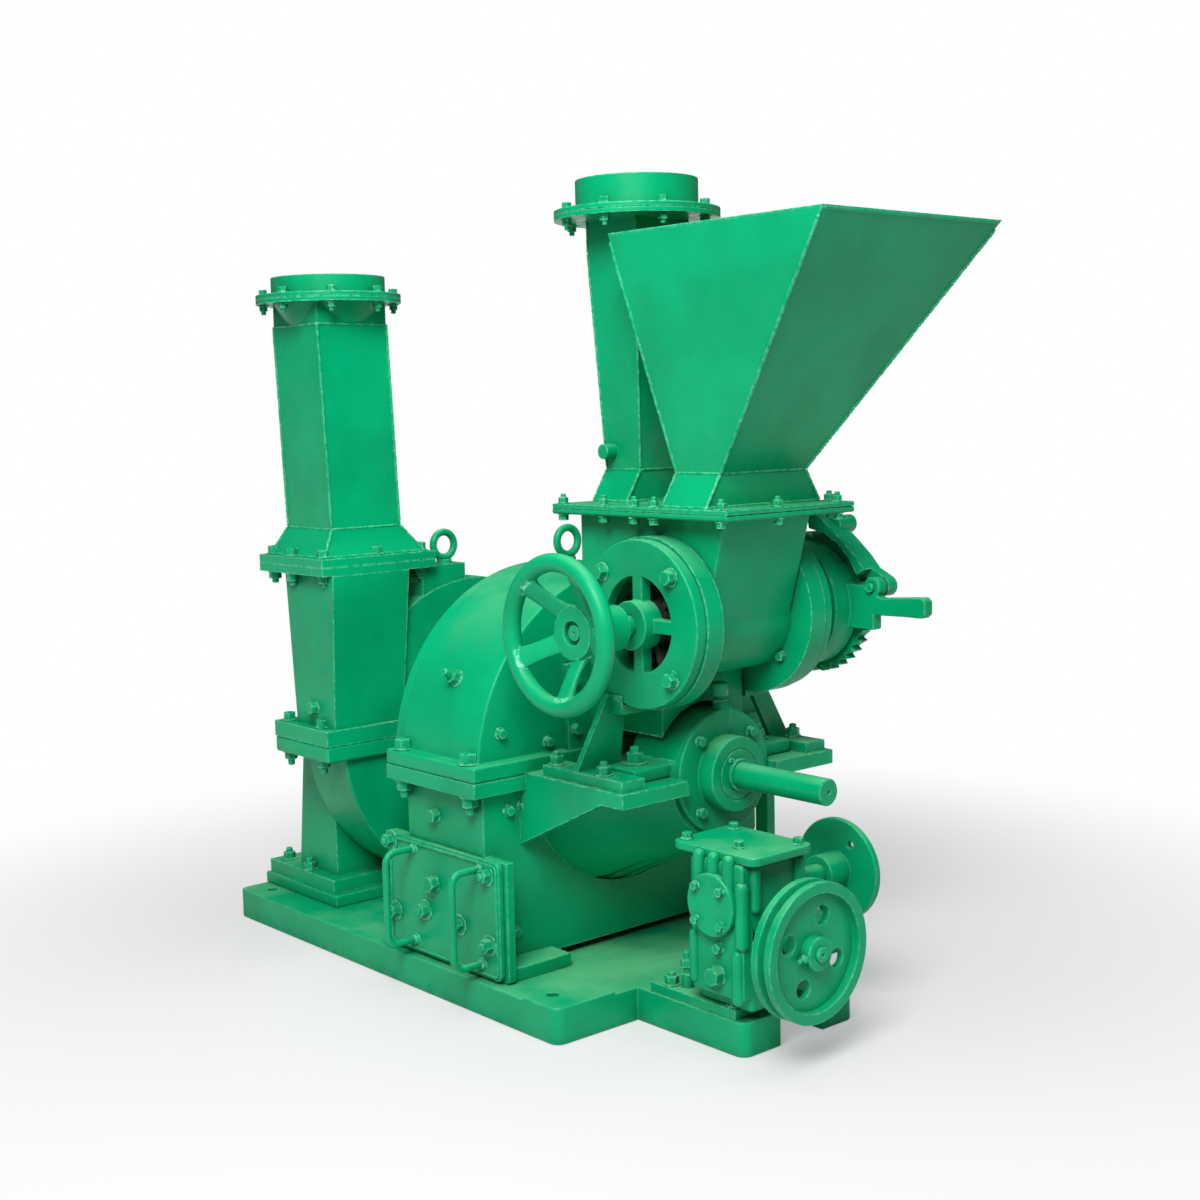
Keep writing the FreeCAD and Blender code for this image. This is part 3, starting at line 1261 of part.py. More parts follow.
def feed_chute():
    """Boxed chute from the feeder to the mill's side, over the bearing, with its bolted flange."""
    root = S.mill_half_width
    flange_end = root + S.chute_flange_thickness
    half = S.chute_half_width
    x, z = S.feeder_x, FEEDER_Z
    outline = [
        (flange_end, SHAFT_Z + S.chute_low_rise), (S.chute_front, SHAFT_Z + S.chute_front_rise),
        (S.chute_front, z - S.barrel_radius), (x, z - S.barrel_radius * S.shoulder_share),
        (flange_end, z - S.feed_box_drop),
    ]
    body = prism("ChuteBody", "XZ_Plane", outline, -half, half)
    flange = block("ChuteFlange", (root, flange_end), (-S.chute_flange_half_width, S.chute_flange_half_width),
                   (SHAFT_Z + S.chute_flange_low_rise, SHAFT_Z + S.chute_flange_high_rise))
    barrel = rod("ChuteBarrelRoom", "Y", S.barrel_radius, -half - 1, half + 1, x, z)
    housing = rod("ChuteHousingRoom", "X", S.housing_radius + S.chute_clearance, root - 1, BRACKET_REACH,
                  0, SHAFT_Z)
    rooms = fuse("ChuteRooms", [barrel, housing])
    return node("feed_chute", cut("FeedChute", fuse("ChuteAll", [body, flange]), rooms))


def feeder_stand(label, side, x, web_inner=None):
    """Leg splayed outwards on a foot beside the bearing, with a saddle for the feeder's flange."""
    foot_top = TABLE_Z + S.stand_foot_thickness
    top = FEEDER_Z - S.barrel_flange_radius + S.stand_overlap
    foot_in, foot_out = side * S.stand_foot_inner, side * (S.stand_foot_inner + S.stand_foot_width)
    margin = side * S.stand_foot_margin
    half = S.stand_thickness / 2
    outline = [(foot_in + margin, foot_top), (foot_out - margin, foot_top),
               (side * S.stand_high_outer, top), (side * S.stand_high_inner, top)]
    leg = prism(f"{label}_leg", "YZ_Plane", outline, x - half, x + half)
    foot_ys = (foot_in, foot_out) if side > 0 else (foot_out, foot_in)
    foot = block(f"{label}_foot", (S.stand_foot_back, S.stand_foot_front), foot_ys, (TABLE_Z, foot_top))
    saddle_in = side * (S.barrel_half_length - S.barrel_flange_thickness)
    saddle_out = side * S.stand_saddle_outer
    saddle_ys = (saddle_in, saddle_out) if side > 0 else (saddle_out, saddle_in)
    saddle_low = FEEDER_Z - S.barrel_flange_radius - S.stand_thickness
    saddle = block(f"{label}_saddle", (x - half, x + S.stand_saddle_length), saddle_ys, (saddle_low, top))
    pieces = [leg, foot, saddle]
    if web_inner is not None:
        web = [(foot_out - margin, TABLE_Z), (side * S.stand_high_inner, top), (side * web_inner, TABLE_Z)]
        pieces.append(prism(f"{label}_web", "YZ_Plane", web, x - half, x + half))
    cover_face = S.barrel_half_length + S.end_cover_thickness + S.seat_gap
    room = rod(f"{label}_room", "Y", S.barrel_flange_radius, -cover_face, cover_face, S.feeder_x, FEEDER_Z)
    return node(label, cut(f"{label}_all", fuse(f"{label}_solid", pieces), room))


def gearbox():
    """Worm gearbox on its foot plate, with a top plate and a round side cover."""
    x, y = S.gear_x, S.gear_y
    top = GEAR_LOW + S.gear_height
    node("gearbox_foot", block("GearFoot", (S.gear_foot_back, S.gear_foot_front),
                               (-S.gear_foot_near, -S.gear_foot_far), (S.bed_height, GEAR_FOOT_TOP)))
    xs = (x - S.gear_half_length, x + S.gear_half_length)
    ys = (y - S.gear_half_width, y + S.gear_half_width)
    inset, depth = S.gear_leg_inset, S.gear_bore_depth
    case = block("GearCase", xs, ys, (GEAR_LOW, top))
    legs = block("GearLegs", xs, (ys[0] + inset, ys[1] - inset), (GEAR_FOOT_TOP, GEAR_LOW))
    nose = rod("GearNose", "X", S.gear_boss_radius, xs[1], GEAR_NOSE_X, y, WORM_Z)
    tail = rod("GearTail", "Y", S.gear_boss_radius, ys[1], GEAR_TAIL_Y, x, GEAR_AXIS_Z)
    worm_bore = rod("GearWormBore", "X", S.worm_shaft_radius + S.running_gap, GEAR_NOSE_X - depth,
                    GEAR_NOSE_X + 1, y, WORM_Z)
    out_bore = rod("GearOutBore", "Y", S.output_shaft_radius + S.running_gap, GEAR_TAIL_Y - depth,
                   GEAR_TAIL_Y + 1, x, GEAR_AXIS_Z)
    node("gearbox_case", cut("GearboxCase", fuse("GearSolid", [case, legs, nose, tail]),
                             fuse("GearBores", [worm_bore, out_bore])))
    outline = [(S.gear_plate_back, -S.gear_plate_near), (S.gear_plate_front, -S.gear_plate_near),
               (S.gear_plate_front, -S.gear_plate_far), (S.gear_plate_back, -S.gear_plate_far)]
    node("gearbox_top_plate", rounded_plate("GearTopPlate", "XY_Plane", outline, top,
                                            top + S.gear_plate_thickness, S.gear_plate_corner))
    cover = rod("GearSideCover", "Y", S.side_cover_radius, ys[0] - S.side_cover_reach, ys[0], x, GEAR_AXIS_Z)
    node("gearbox_side_cover", cover)


def output_crank():
    """Output shaft of the gearbox and the crank disc on it, with a throw hole."""
    x, z = S.gear_x, GEAR_AXIS_Z
    back = S.crank_plane
    front = back + S.crank_thickness
    node("output_shaft", rod("OutputShaft", "Y", S.output_shaft_radius, GEAR_TAIL_Y - S.gear_bore_depth,
                             front + S.output_shaft_reach, x, z))
    disc = rod("CrankDisc", "Y", S.crank_radius, back, front, x, z)
    boss = rod("CrankBoss", "Y", S.crank_boss_radius, back - S.crank_boss_length, back, x, z)
    bore = rod("CrankBore", "Y", S.output_shaft_radius, back - S.crank_boss_length - 1, front + 1, x, z)
    hole = rod("CrankHole", "Y", S.crank_hole_radius, back - 1, front + 1,
               *on_circle(x, z, S.crank_hole_circle, S.crank_hole_turn))
    solid = fuse("CrankSolid", [disc, boss])
    return node("crank_disc", cut("CrankAll", solid, fuse("CrankCuts", [bore, hole])))


def drive_pulley():
    """Cast V-pulley on the worm shaft, with a recessed web, four holes and a hub."""
    y, z = S.gear_y, WORM_Z
    front = S.pulley_front
    node("worm_shaft", rod("WormShaft", "X", S.worm_shaft_radius, GEAR_NOSE_X - S.gear_bore_depth,
                           front + S.worm_shaft_reach, y, z))
    width, radius = S.pulley_width, S.pulley_radius
    groove, depth = S.pulley_groove_width / 2, S.pulley_groove_depth
    middle = width / 2
    rim_inner = radius - S.pulley_rim_depth
    web_back = middle - S.pulley_web / 2
    web_front = middle + S.pulley_web / 2
    hub, bore = S.pulley_hub_radius, S.worm_shaft_radius
    hub_front = web_back + S.pulley_hub_length / 2 + S.pulley_hub_shift
    hub_back = web_front - S.pulley_hub_length / 2 - S.pulley_hub_shift
    profile = [
        (hub_back, bore), (hub_front, bore), (hub_front, hub), (web_front, hub), (web_front, rim_inner),
        (width, rim_inner), (width, radius), (middle + groove, radius), (middle + groove / 2, radius - depth),
        (middle - groove / 2, radius - depth), (middle - groove, radius), (0, radius), (0, rim_inner),
        (web_back, rim_inner), (web_back, hub), (hub_back, hub),
    ]
    body = turned("DrivePulley", "X", profile)
    hole_sketch = sketch_on(body, "YZ_Plane", "DrivePulley_hole")
    hole_centre = on_circle(dim(0), dim(0), S.pulley_hole_circle, S.pulley_hole_turn)
    draw_circle(hole_sketch, hole_centre, S.pulley_hole_radius)
    hole = pocket_through(body, hole_sketch, "DrivePulley_one", width, reverse=True)
    polar_copies(body, hole, "DrivePulley_holes", hole_sketch, S.pulley_hole_count)
    place(body, front - width, y, z)
    return node("drive_pulley", body)


base_plate()
mill_lower_casing()
mill_upper_cover()
mill_ring()
cleanout_door()
door_handle("door_handle_left", S.handle_left)
door_handle("door_handle_right", S.handle_right)
bearing_bracket()
bearing_housing()
bearing_cover()
grease_cup()
main_shaft()
blower_lower_casing()
blower_upper_casing()
duct_x, duct_y, duct_top = outlet_duct()
collar("outlet_collar", duct_x, duct_y, duct_top, S.collar_height, S.collar_flange_radius)
eyebolt("blower_eyebolt", -S.blower_front - S.eyebolt_inset_x, -S.blower_eyebolt_y, LUG_TOP)
eyebolt("mill_eyebolt", -S.mill_eyebolt_x, 0, SHAFT_Z + S.mill_drum_radius)
outboard_pedestal()
feeder_barrel()
feeder_end_cover("feeder_cover_near", -1)
feeder_end_cover("feeder_cover_far", 1)
feeder_shaft()
feed_roller()
handwheel()
ratchet_wheel()
ratchet_lever()
pawl()
hopper_foot()
hopper()
vent_x, vent_y, vent_top = vent_duct()
collar("vent_collar", vent_x, vent_y, vent_top, S.vent_collar_height, S.vent_flange_radius)
feed_chute()
feeder_stand("feeder_stand_near", -1, S.stand_near_x, S.stand_web_inner)
feeder_stand("feeder_stand_far", 1, S.stand_far_x)
gearbox()
output_crank()
drive_pulley()

doc.recompute()
for thing in doc.Objects:
    if "Invalid" in thing.State or "Error" in thing.State:
        raise RuntimeError(f"{thing.Name} did not build: {thing.State}")

os.makedirs(NODES_FOLDER, exist_ok=True)
for thing in NODES:
    shape = thing.Shape
    if shape.isNull() or not shape.isValid():
        raise RuntimeError(f"{thing.Label} has no valid shape")
    shape.exportStep(f"{NODES_FOLDER}/{thing.Label}.step")
    print(f"{thing.Label:22s} solids {len(shape.Solids)}  volume {shape.Volume / 1000:.0f} cm3")
print(len(NODES), "sub-parts")
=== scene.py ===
"""Green enamelled impact pulveriser: castings, sheet ducts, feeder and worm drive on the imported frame.

The mill's shaft runs along X, the feeder's along Y, and Z is up. Lengths are in metres unless a
name or comment says millimetres.
"""
import json
import math
import random

import bmesh
import bpy
from bpy.props import FloatProperty, FloatVectorProperty, PointerProperty
from mathutils import Matrix, Vector

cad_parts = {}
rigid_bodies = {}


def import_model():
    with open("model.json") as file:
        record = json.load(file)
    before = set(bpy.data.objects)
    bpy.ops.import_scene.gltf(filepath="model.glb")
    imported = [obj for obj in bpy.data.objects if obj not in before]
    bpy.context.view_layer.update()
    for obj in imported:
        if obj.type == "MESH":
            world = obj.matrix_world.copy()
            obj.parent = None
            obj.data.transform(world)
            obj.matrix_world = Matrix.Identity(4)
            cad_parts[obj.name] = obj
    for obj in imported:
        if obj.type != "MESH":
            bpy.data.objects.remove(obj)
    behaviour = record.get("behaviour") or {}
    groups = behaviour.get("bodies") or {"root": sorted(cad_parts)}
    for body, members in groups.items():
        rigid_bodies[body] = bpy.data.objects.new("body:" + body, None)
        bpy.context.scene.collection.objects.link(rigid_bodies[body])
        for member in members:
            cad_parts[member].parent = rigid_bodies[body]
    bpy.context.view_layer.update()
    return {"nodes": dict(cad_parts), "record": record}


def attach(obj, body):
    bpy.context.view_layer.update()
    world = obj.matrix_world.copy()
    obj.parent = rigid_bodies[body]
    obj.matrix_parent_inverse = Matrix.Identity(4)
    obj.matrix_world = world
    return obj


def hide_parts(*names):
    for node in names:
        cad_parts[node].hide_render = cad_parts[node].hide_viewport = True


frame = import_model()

bl_info = {
    "name": "Impact pulveriser",
    "version": (1, 0, 0),
    "blender": (4, 5, 0),
    "location": "View3D > Sidebar > Pulveriser",
    "description": "Builds the castings, ducts, fasteners and enamel of an impact pulveriser",
    "category": "Object",
}

MM = 0.001

UP, DOWN = (0, 0, 1), (0, 0, -1)
TO_NEAR, TO_FAR = (0, -1, 0), (0, 1, 0)
TO_RIGHT, TO_LEFT = (1, 0, 0), (-1, 0, 0)
BOTH_SIDES = (-1, 1)

# Places on the frame, in millimetres.
SHAFT_LEVEL = 450
FEEDER_X, FEEDER_LEVEL = 362, 748
WORM_Y, WORM_LEVEL = -135, 204
DOOR_FACE = -384

# The photograph's camera: its place in metres, then its angles in degrees.
CAMERA_PLACE = (2.677, -2.279, 1.147)
CAMERA_AROUND = 49.06
CAMERA_PITCH = 6.42
CAMERA_ROLL = -1.27
SENSOR_WIDTH_MM = 36

# Levels of a noise, a slope or the light at a point between which each effect of the film, and each painted
# light and shade, comes in.
THICK_RAMP = (0.38, 0.62)
FACING_UP_RAMP = (0.55, 0.97)
# where the painted top light lies in patches
TOP_LIGHT_PATCH_RAMP = (0.40, 0.66)
# where worn edges and painted edge highlights come in
EDGE_RAMP = (0.92, 0.55)
CHIPPED_RAMP = (0.40, 0.62)
# where painted corner shade and dirt come in
CORNER_RAMP = (0.85, 0.25)
GLOSS_RAMP = (0.3, 0.7)
WHOLE = (0.0, 1.0)

# Edges that turn more than this are rounded, and shaded as sharp where they are left.
SHARP_EDGE = math.radians(25)
SHARP_SHADING = math.radians(38)
# Facets that turn less than this belong to one face.
SAME_FACE = math.radians(0.6)
# How far a rounded piece may reach past its node, and how much of the volume it may gain or lose.
GROWTH_ALLOWED = 0.1 * MM
VOLUME_CHANGE_ALLOWED = 0.05
FOLD_ALLOWED = 10 * MM ** 2
# Share of the wanted rounding, whether corners may hold it back, and the shortest edge rounded in
# radii, from best to least.
ROUNDING_TRIES = (
    (1, False, 0), (0.6, False, 0), (1, False, 3), (1, True, 3), (0.6, False, 3), (0.6, True, 3),
    (0.35, False, 0), (0.35, False, 5), (0.35, True, 5),
)

# Parts of a hexagon bolt as shares of its width across flats.
WASHER_THICKNESS = 0.12
HEAD_HEIGHT = 0.62
STUD_RADIUS = 0.31
TURNED_RIM = 0.94


def linear(hex_colour):
    """Turns an sRGB hex colour such as 00A068 into linear red, green and blue."""
    shades = [int(hex_colour[i:i + 2], 16) / 255 for i in (0, 2, 4)]
    return tuple(s / 12.92 if s <= 0.04045 else ((s + 0.055) / 1.055) ** 2.4 for s in shades)


def hue(name, description, hex_colour):
    return FloatVectorProperty(name=name, description=description, default=linear(hex_colour),
                               subtype="COLOR", min=0, max=1)


def length(name, description, millimetres):
    return FloatProperty(name=name, description=description, default=millimetres * MM,
                         unit="LENGTH", min=0, precision=4)


def power(name, description, watts):
    return FloatProperty(name=name, description=description, default=watts,
                         subtype="POWER", unit="POWER", min=0)


class EnamelSettings(bpy.types.PropertyGroup):
    """Colours and surface of the machine enamel"""

    green: hue("Green", "Fresh enamel", "00A870")
    deep_green: hue("Deep green", "Enamel where the second coat lies thick", "009864")
    # painted top light: a paler green for faces that look up, standing in for the light from above
    painted_top_light: hue("Sunned", "Yellowed film on faces that look up", "7ADC9E")
    # edge colour: part wear, part painted highlight where light catches the edges
    worn_and_highlit: hue("Worn", "Thin film on rubbed edges", "84E8C0")
    # corner colour: part oil and dust, part painted shade where light is blocked in corners
    grime_and_corner_shade: hue("Grime", "Oil and dust held in corners", "003820")
    bare_steel: hue("Bare steel", "Dull steel of the roller inside the feeder", "4A4A46")
    steel_dust: hue("Steel dust", "Dust on the bare steel", "77766E")
    sand_grain: length("Sand grain", "Mould sand that shows through the film on castings", 2.4)
    brush_width: length("Brush mark", "Width of one bristle mark in the film", 3.0)
    # also how wide the painted edge highlight is
    rubbed_and_highlit_width: length("Rubbed width", "Width of the thin film along an edge", 3)
    # also how far the painted corner shade reaches
    grime_and_shade_reach: length("Grime reach", "How far grime spreads from a corner", 45)


class CastingSettings(bpy.types.PropertyGroup):
    """Edge rounding of the solid parts"""

    casting_round: length("Casting edge", "Rounding of cast edges and corners", 5)
    machined_round: length("Machined edge", "Broken edge of turned and milled parts", 1.5)
    sheet_round: length("Sheet edge", "Rounding of cut sheet", 1.2)


class FastenerSettings(bpy.types.PropertyGroup):
    """Sizes of the hexagon bolts and nuts"""

    large: length("Large", "Across flats of the joint and foot bolts", 30)
    medium: length("Medium", "Across flats of the cover and flange bolts", 24)
    small: length("Small", "Across flats of the small bolts", 17)


class SheetSettings(bpy.types.PropertyGroup):
    """Seams of the sheet metal work"""

    weld_width: length("Weld width", "Width of a corner weld bead", 7)
    rim_rod: length("Rim rod", "Rod rolled into the hopper's mouth", 8)
    handle_bend: length("Handle bend", "Inner bend of the door handles", 22)


class StageSettings(bpy.types.PropertyGroup):
    """Camera, floor and lamps"""

    floor: hue("Floor", "Matt paper under the machine", "D8D8D8")
    lens: FloatProperty(name="Lens", description="Focal length in millimetres", default=51.16, min=1)
    key_power: power("Key lamp", "Large lamp above the camera", 185)
    top_power: power("Top lamp", "Soft lamp overhead", 85)
    fill: FloatProperty(name="Fill", description="Brightness of the surrounding light", default=0.12,
                        min=0)


def empty_tree(owner):
    """The node tree of a material or world, cleared."""
    owner.use_nodes = True
    owner.node_tree.nodes.clear()
    return owner.node_tree


def add_node(tree, kind, links=None, **settings):
    """Adds one shader node with its settings, input values and links."""
    node = tree.nodes.new(kind)
    for name, value in settings.items():
        setattr(node, name, value)
    for socket, value in (links or {}).items():
        if isinstance(value, bpy.types.NodeSocket):
            tree.links.new(value, node.inputs[socket])
        else:
            node.inputs[socket].default_value = value
    return node


def noise(tree, place, spacing_mm, detail):
    """Noise whose lumps are this many millimetres apart."""
    links = {"Vector": place, "Scale": 1000 / spacing_mm, "Detail": detail}
    return add_node(tree, "ShaderNodeTexNoise", links).outputs[0]


def remap(tree, value, ramp, result=WHOLE, **settings):
    """Stretches a value from one pair of levels to another."""
    links = {"Value": value, "From Min": ramp[0], "From Max": ramp[1],
             "To Min": result[0], "To Max": result[1]}
    return add_node(tree, "ShaderNodeMapRange", links, **settings).outputs[0]


def combine(tree, operation, first, second):
    return add_node(tree, "ShaderNodeMath", {0: first, 1: second}, operation=operation).outputs[0]


def blend(tree, share, first, second):
    """Goes from the first colour to the second as the share goes from 0 to 1."""
    links = {0: share, 6: first, 7: second}
    return add_node(tree, "ShaderNodeMix", links, data_type="RGBA").outputs[2]


def enamel(name, grain_mm, grain_depth, lump_mm, lump_depth, brush_depth, roughness, edge_wear_and_highlight):
    """Green enamel film over a metal whose own surface shows through it."""
    look = bpy.context.scene.pulveriser_enamel
    material = bpy.data.materials.new(name)
    tree = empty_tree(material)
    place = add_node(tree, "ShaderNodeTexCoord").outputs["Object"]
    drift = noise(tree, place, 190, detail=5.0)
    mottle = noise(tree, place, 28, detail=6.0)
    chips = noise(tree, place, 9, detail=8.0)
    thick = remap(tree, drift, THICK_RAMP)
    colour = blend(tree, thick, (*look.green, 1), (*look.deep_green, 1))
    # painted top light: faces that look up are painted paler in patches, for the light that falls on them
    # from above
    facing = add_node(tree, "ShaderNodeNewGeometry").outputs["Normal"]
    slope = add_node(tree, "ShaderNodeSeparateXYZ", {0: facing}).outputs["Z"]
    level = remap(tree, slope, FACING_UP_RAMP)
    patch = remap(tree, drift, TOP_LIGHT_PATCH_RAMP, (0.0, 0.6))
    top_light_share = combine(tree, "MULTIPLY", level, patch)
    colour = blend(tree, top_light_share, colour, (*look.painted_top_light, 1))
    # edges are rubbed thin, and painted paler as highlights where light catches them
    edge = add_node(tree, "ShaderNodeAmbientOcclusion", {"Distance": look.rubbed_and_highlit_width},
                    inside=True, only_local=True, samples=3).outputs["AO"]
    rubbed = remap(tree, edge, EDGE_RAMP, (0.0, edge_wear_and_highlight))
    broken = remap(tree, chips, CHIPPED_RAMP)
    rub_and_highlight_share = combine(tree, "MULTIPLY", rubbed, broken)
    colour = blend(tree, rub_and_highlight_share, colour, (*look.worn_and_highlit, 1))
    # corners hold oil and dust, and are painted darker for the shade that falls in them
    corner = add_node(tree, "ShaderNodeAmbientOcclusion", {"Distance": look.grime_and_shade_reach},
                      samples=4).outputs["AO"]
    held = remap(tree, corner, CORNER_RAMP, (0.0, 0.9))
    grime_and_shade_share = combine(tree, "MULTIPLY", held, mottle)
    colour = blend(tree, grime_and_shade_share, colour, (*look.grime_and_corner_shade, 1))
    gloss = remap(tree, mottle, GLOSS_RAMP, (roughness - 0.06, roughness + 0.10))
    dull = combine(tree, "ADD", gloss, grime_and_shade_share)
    # lumps of the metal, its grain, then the brush marks in the film, long in one direction
    lumps = noise(tree, place, lump_mm, detail=2.0)
    grain = noise(tree, place, grain_mm, detail=3.0)
    across = 1 / look.brush_width
    strokes = add_node(tree, "ShaderNodeMapping",
                       {"Vector": place, "Scale": (across, across, 0.06 * across)})
    bristles = add_node(tree, "ShaderNodeTexNoise",
                        {"Vector": strokes.outputs[0], "Scale": 1.0, "Detail": 2.0}).outputs[0]
    normal = None
    for height, depth, strength in ((lumps, lump_depth, 0.6), (grain, grain_depth, 0.7),
                                    (bristles, brush_depth, 0.35)):
        links = {"Height": height, "Distance": depth * MM, "Strength": strength}
        if normal:
            links["Normal"] = normal
        normal = add_node(tree, "ShaderNodeBump", links).outputs[0]
    # the film has weathered, so only part of its gloss is left
    shader = add_node(tree, "ShaderNodeBsdfPrincipled", {
        "Base Color": colour, "Roughness": dull, "Normal": normal, "IOR": 1.5, "Specular IOR Level": 0.2,
    })
    add_node(tree, "ShaderNodeOutputMaterial", {"Surface": shader.outputs[0]})
    return material


def bare_steel(name):
    """Mill-finish steel, dulled by dust: grey, with fine scratches and soft broad highlights."""
    look = bpy.context.scene.pulveriser_enamel
    material = bpy.data.materials.new(name)
    tree = empty_tree(material)
    place = add_node(tree, "ShaderNodeTexCoord").outputs["Object"]
    dust = noise(tree, place, 14, detail=7.0)
    colour = blend(tree, dust, (*look.bare_steel, 1), (*look.steel_dust, 1))
    dull = remap(tree, dust, WHOLE, (0.38, 0.7))
    marks = add_node(tree, "ShaderNodeBump", {"Height": dust, "Distance": 0.3 * MM, "Strength": 0.4})
    shader = add_node(tree, "ShaderNodeBsdfPrincipled", {
        "Base Color": colour, "Metallic": 0.8, "Roughness": dull, "Normal": marks.outputs[0],
    })
    add_node(tree, "ShaderNodeOutputMaterial", {"Surface": shader.outputs[0]})
    return material


# Each finish, lengths in millimetres: spacing and depth of the metal's grain, the same of its lumps,
# depth of the brush marks, then roughness and the share of edge wear with painted edge highlight.
# None stands for the sand grain setting.
FINISHES = {
    # sand-cast iron: a pebbled skin with broad soft dips under brushed gloss
    "enamel_brushed_on_sand_cast_iron": (None, 0.16, 42, 0.9, 0.07, 0.34, 0.85),
    # rolled sheet: smooth, with long shallow waves that bend the reflections
    "enamel_brushed_on_rolled_sheet": (3.0, 0.01, 170, 1.4, 0.015, 0.30, 0.85),
    # turned steel: tight and even
    "enamel_brushed_on_turned_steel": (2.0, 0.03, 24, 0.15, 0.04, 0.27, 0.85),
    # forged bolts: thick film, edges rubbed by spanners, with the strongest painted edge highlight
    "enamel_brushed_on_forged_steel": (1.8, 0.08, 10, 0.25, 0.06, 0.30, 1.0),
}
SLOT_FINISHES = {
    "cast_enamel": "enamel_brushed_on_sand_cast_iron",
    "sheet_enamel": "enamel_brushed_on_rolled_sheet",
    "steel_enamel": "enamel_brushed_on_turned_steel",
}
FORGED = "enamel_brushed_on_forged_steel"
BARE = "steel_mill_finish_dusty"


def finish_for(name):
    """The material of that name, made on its first use."""
    made = bpy.data.materials.get(name)
    if made:
        return made
    if name == BARE:
        return bare_steel(name)
    grain, *rest = FINISHES[name]
    sand = bpy.context.scene.pulveriser_enamel.sand_grain / MM
    return enamel(name, grain or sand, *rest)


def refinish(node, name):
    """Gives a node of the frame a finish in all its slots."""
    for slot in frame["nodes"][node].material_slots:
        slot.material = finish_for(name)


def body_with(node):
    """The frame body that a node belongs to."""
    groups = frame["record"]["behaviour"]["bodies"]
    return next(body for body, members in groups.items() if node in members)


def new_piece(name, bm, body, slot="steel_enamel", material=None, replaces=()):
    """Makes a piece of a finished mesh, on its body and with its finish."""
    mesh = bpy.data.meshes.new(name)
    bmesh.ops.recalc_face_normals(bm, faces=bm.faces)
    bm.to_mesh(mesh)
    bm.free()
    mesh.materials.append(finish_for(material or SLOT_FINISHES[slot]))
    mesh.shade_smooth()
    mesh.set_sharp_from_angle(angle=SHARP_SHADING)
    piece = bpy.data.objects.new(name, mesh)
    bpy.context.scene.collection.objects.link(piece)
    weights = piece.modifiers.new("face_weighted_shading", "WEIGHTED_NORMAL")
    weights.keep_sharp = True
    weights.weight = 80
    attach(piece, body)
    if replaces:
        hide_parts(*replaces)
    return piece


def merged_facets(node):
    """A frame node's mesh with its facets joined into whole flat faces."""
    bm = bmesh.new()
    bm.from_mesh(frame["nodes"][node].data)
    bmesh.ops.remove_doubles(bm, verts=bm.verts, dist=0.02 * MM)
    bmesh.ops.dissolve_limit(bm, angle_limit=SAME_FACE, verts=bm.verts, edges=bm.edges)
    return bm


def box_of(bm):
    """The lowest x, y and z of a mesh, then the highest."""
    points = [v.co for v in bm.verts]
    return [min(p[i] for p in points) for i in range(3)] + [max(p[i] for p in points) for i in range(3)]


def folded(bm):
    """Whether a face is bent over itself, which shows as a black patch."""
    for corners in bm.calc_loop_triangles():
        a, b, c = (corner.vert.co for corner in corners)
        if (b - a).cross(c - a).dot(corners[0].face.normal) < -FOLD_ALLOWED:
            return True
    return False


def softened(node, radius, segments=2):
    """Stands a copy of a node in its place, with its sharp edges and inner corners rounded."""
    for share, held_back, shortest in ROUNDING_TRIES:
        bm = merged_facets(node)
        volume, box = bm.calc_volume(), box_of(bm)
        sharp = [e for e in bm.edges if e.is_manifold and e.calc_face_angle() > SHARP_EDGE
                 and e.calc_length() >= shortest * radius]
        bmesh.ops.bevel(bm, geom=sharp, offset=radius * share, offset_type="OFFSET", segments=segments,
                        profile=0.5, affect="EDGES", clamp_overlap=held_back, loop_slide=True)
        low_high = zip(box_of(bm), box, (1, 1, 1, -1, -1, -1))
        grown = max((before - after) * way for after, before, way in low_high)
        changed = abs(bm.calc_volume() / volume - 1)
        bm.normal_update()
        if grown < GROWTH_ALLOWED and changed < VOLUME_CHANGE_ALLOWED and not folded(bm):
            break
        bm.free()
    else:
        bm = merged_facets(node)
    slot = frame["nodes"][node].material_slots[0].name
    return new_piece(f"{node}_dressed", bm, body_with(node), slot, replaces=[node])


def standing(point_mm, along=UP, turn=0.0):
    """A place at a point in millimetres whose z axis looks along a direction."""
    swing = Vector(along).normalized().to_track_quat("Z", "Y").to_matrix().to_4x4()
    return Matrix.Translation(Vector(point_mm) * MM) @ swing @ Matrix.Rotation(turn, 4, "Z")


def raised(place, height_mm):
    """A place moved up its own z axis."""
    return place @ Matrix.Translation((0, 0, height_mm * MM))


def in_metres(profile_mm):
    """A profile's (radius, height) points, given in millimetres."""
    return [(radius * MM, height * MM) for radius, height in profile_mm]


def round_points(radius, count, first):
    """Points spaced evenly round a circle, the first at an angle in degrees."""
    angles = [math.radians(first + 360 * k / count) for k in range(count)]
    return [(radius * math.cos(a), radius * math.sin(a)) for a in angles]


def bridge(bm, lower, upper):
    """Closes the strip between two rings of as many corners."""
    count = len(lower)
    for i in range(count):
        j = (i + 1) % count
        bm.faces.new((lower[i], lower[j], upper[j], upper[i]))


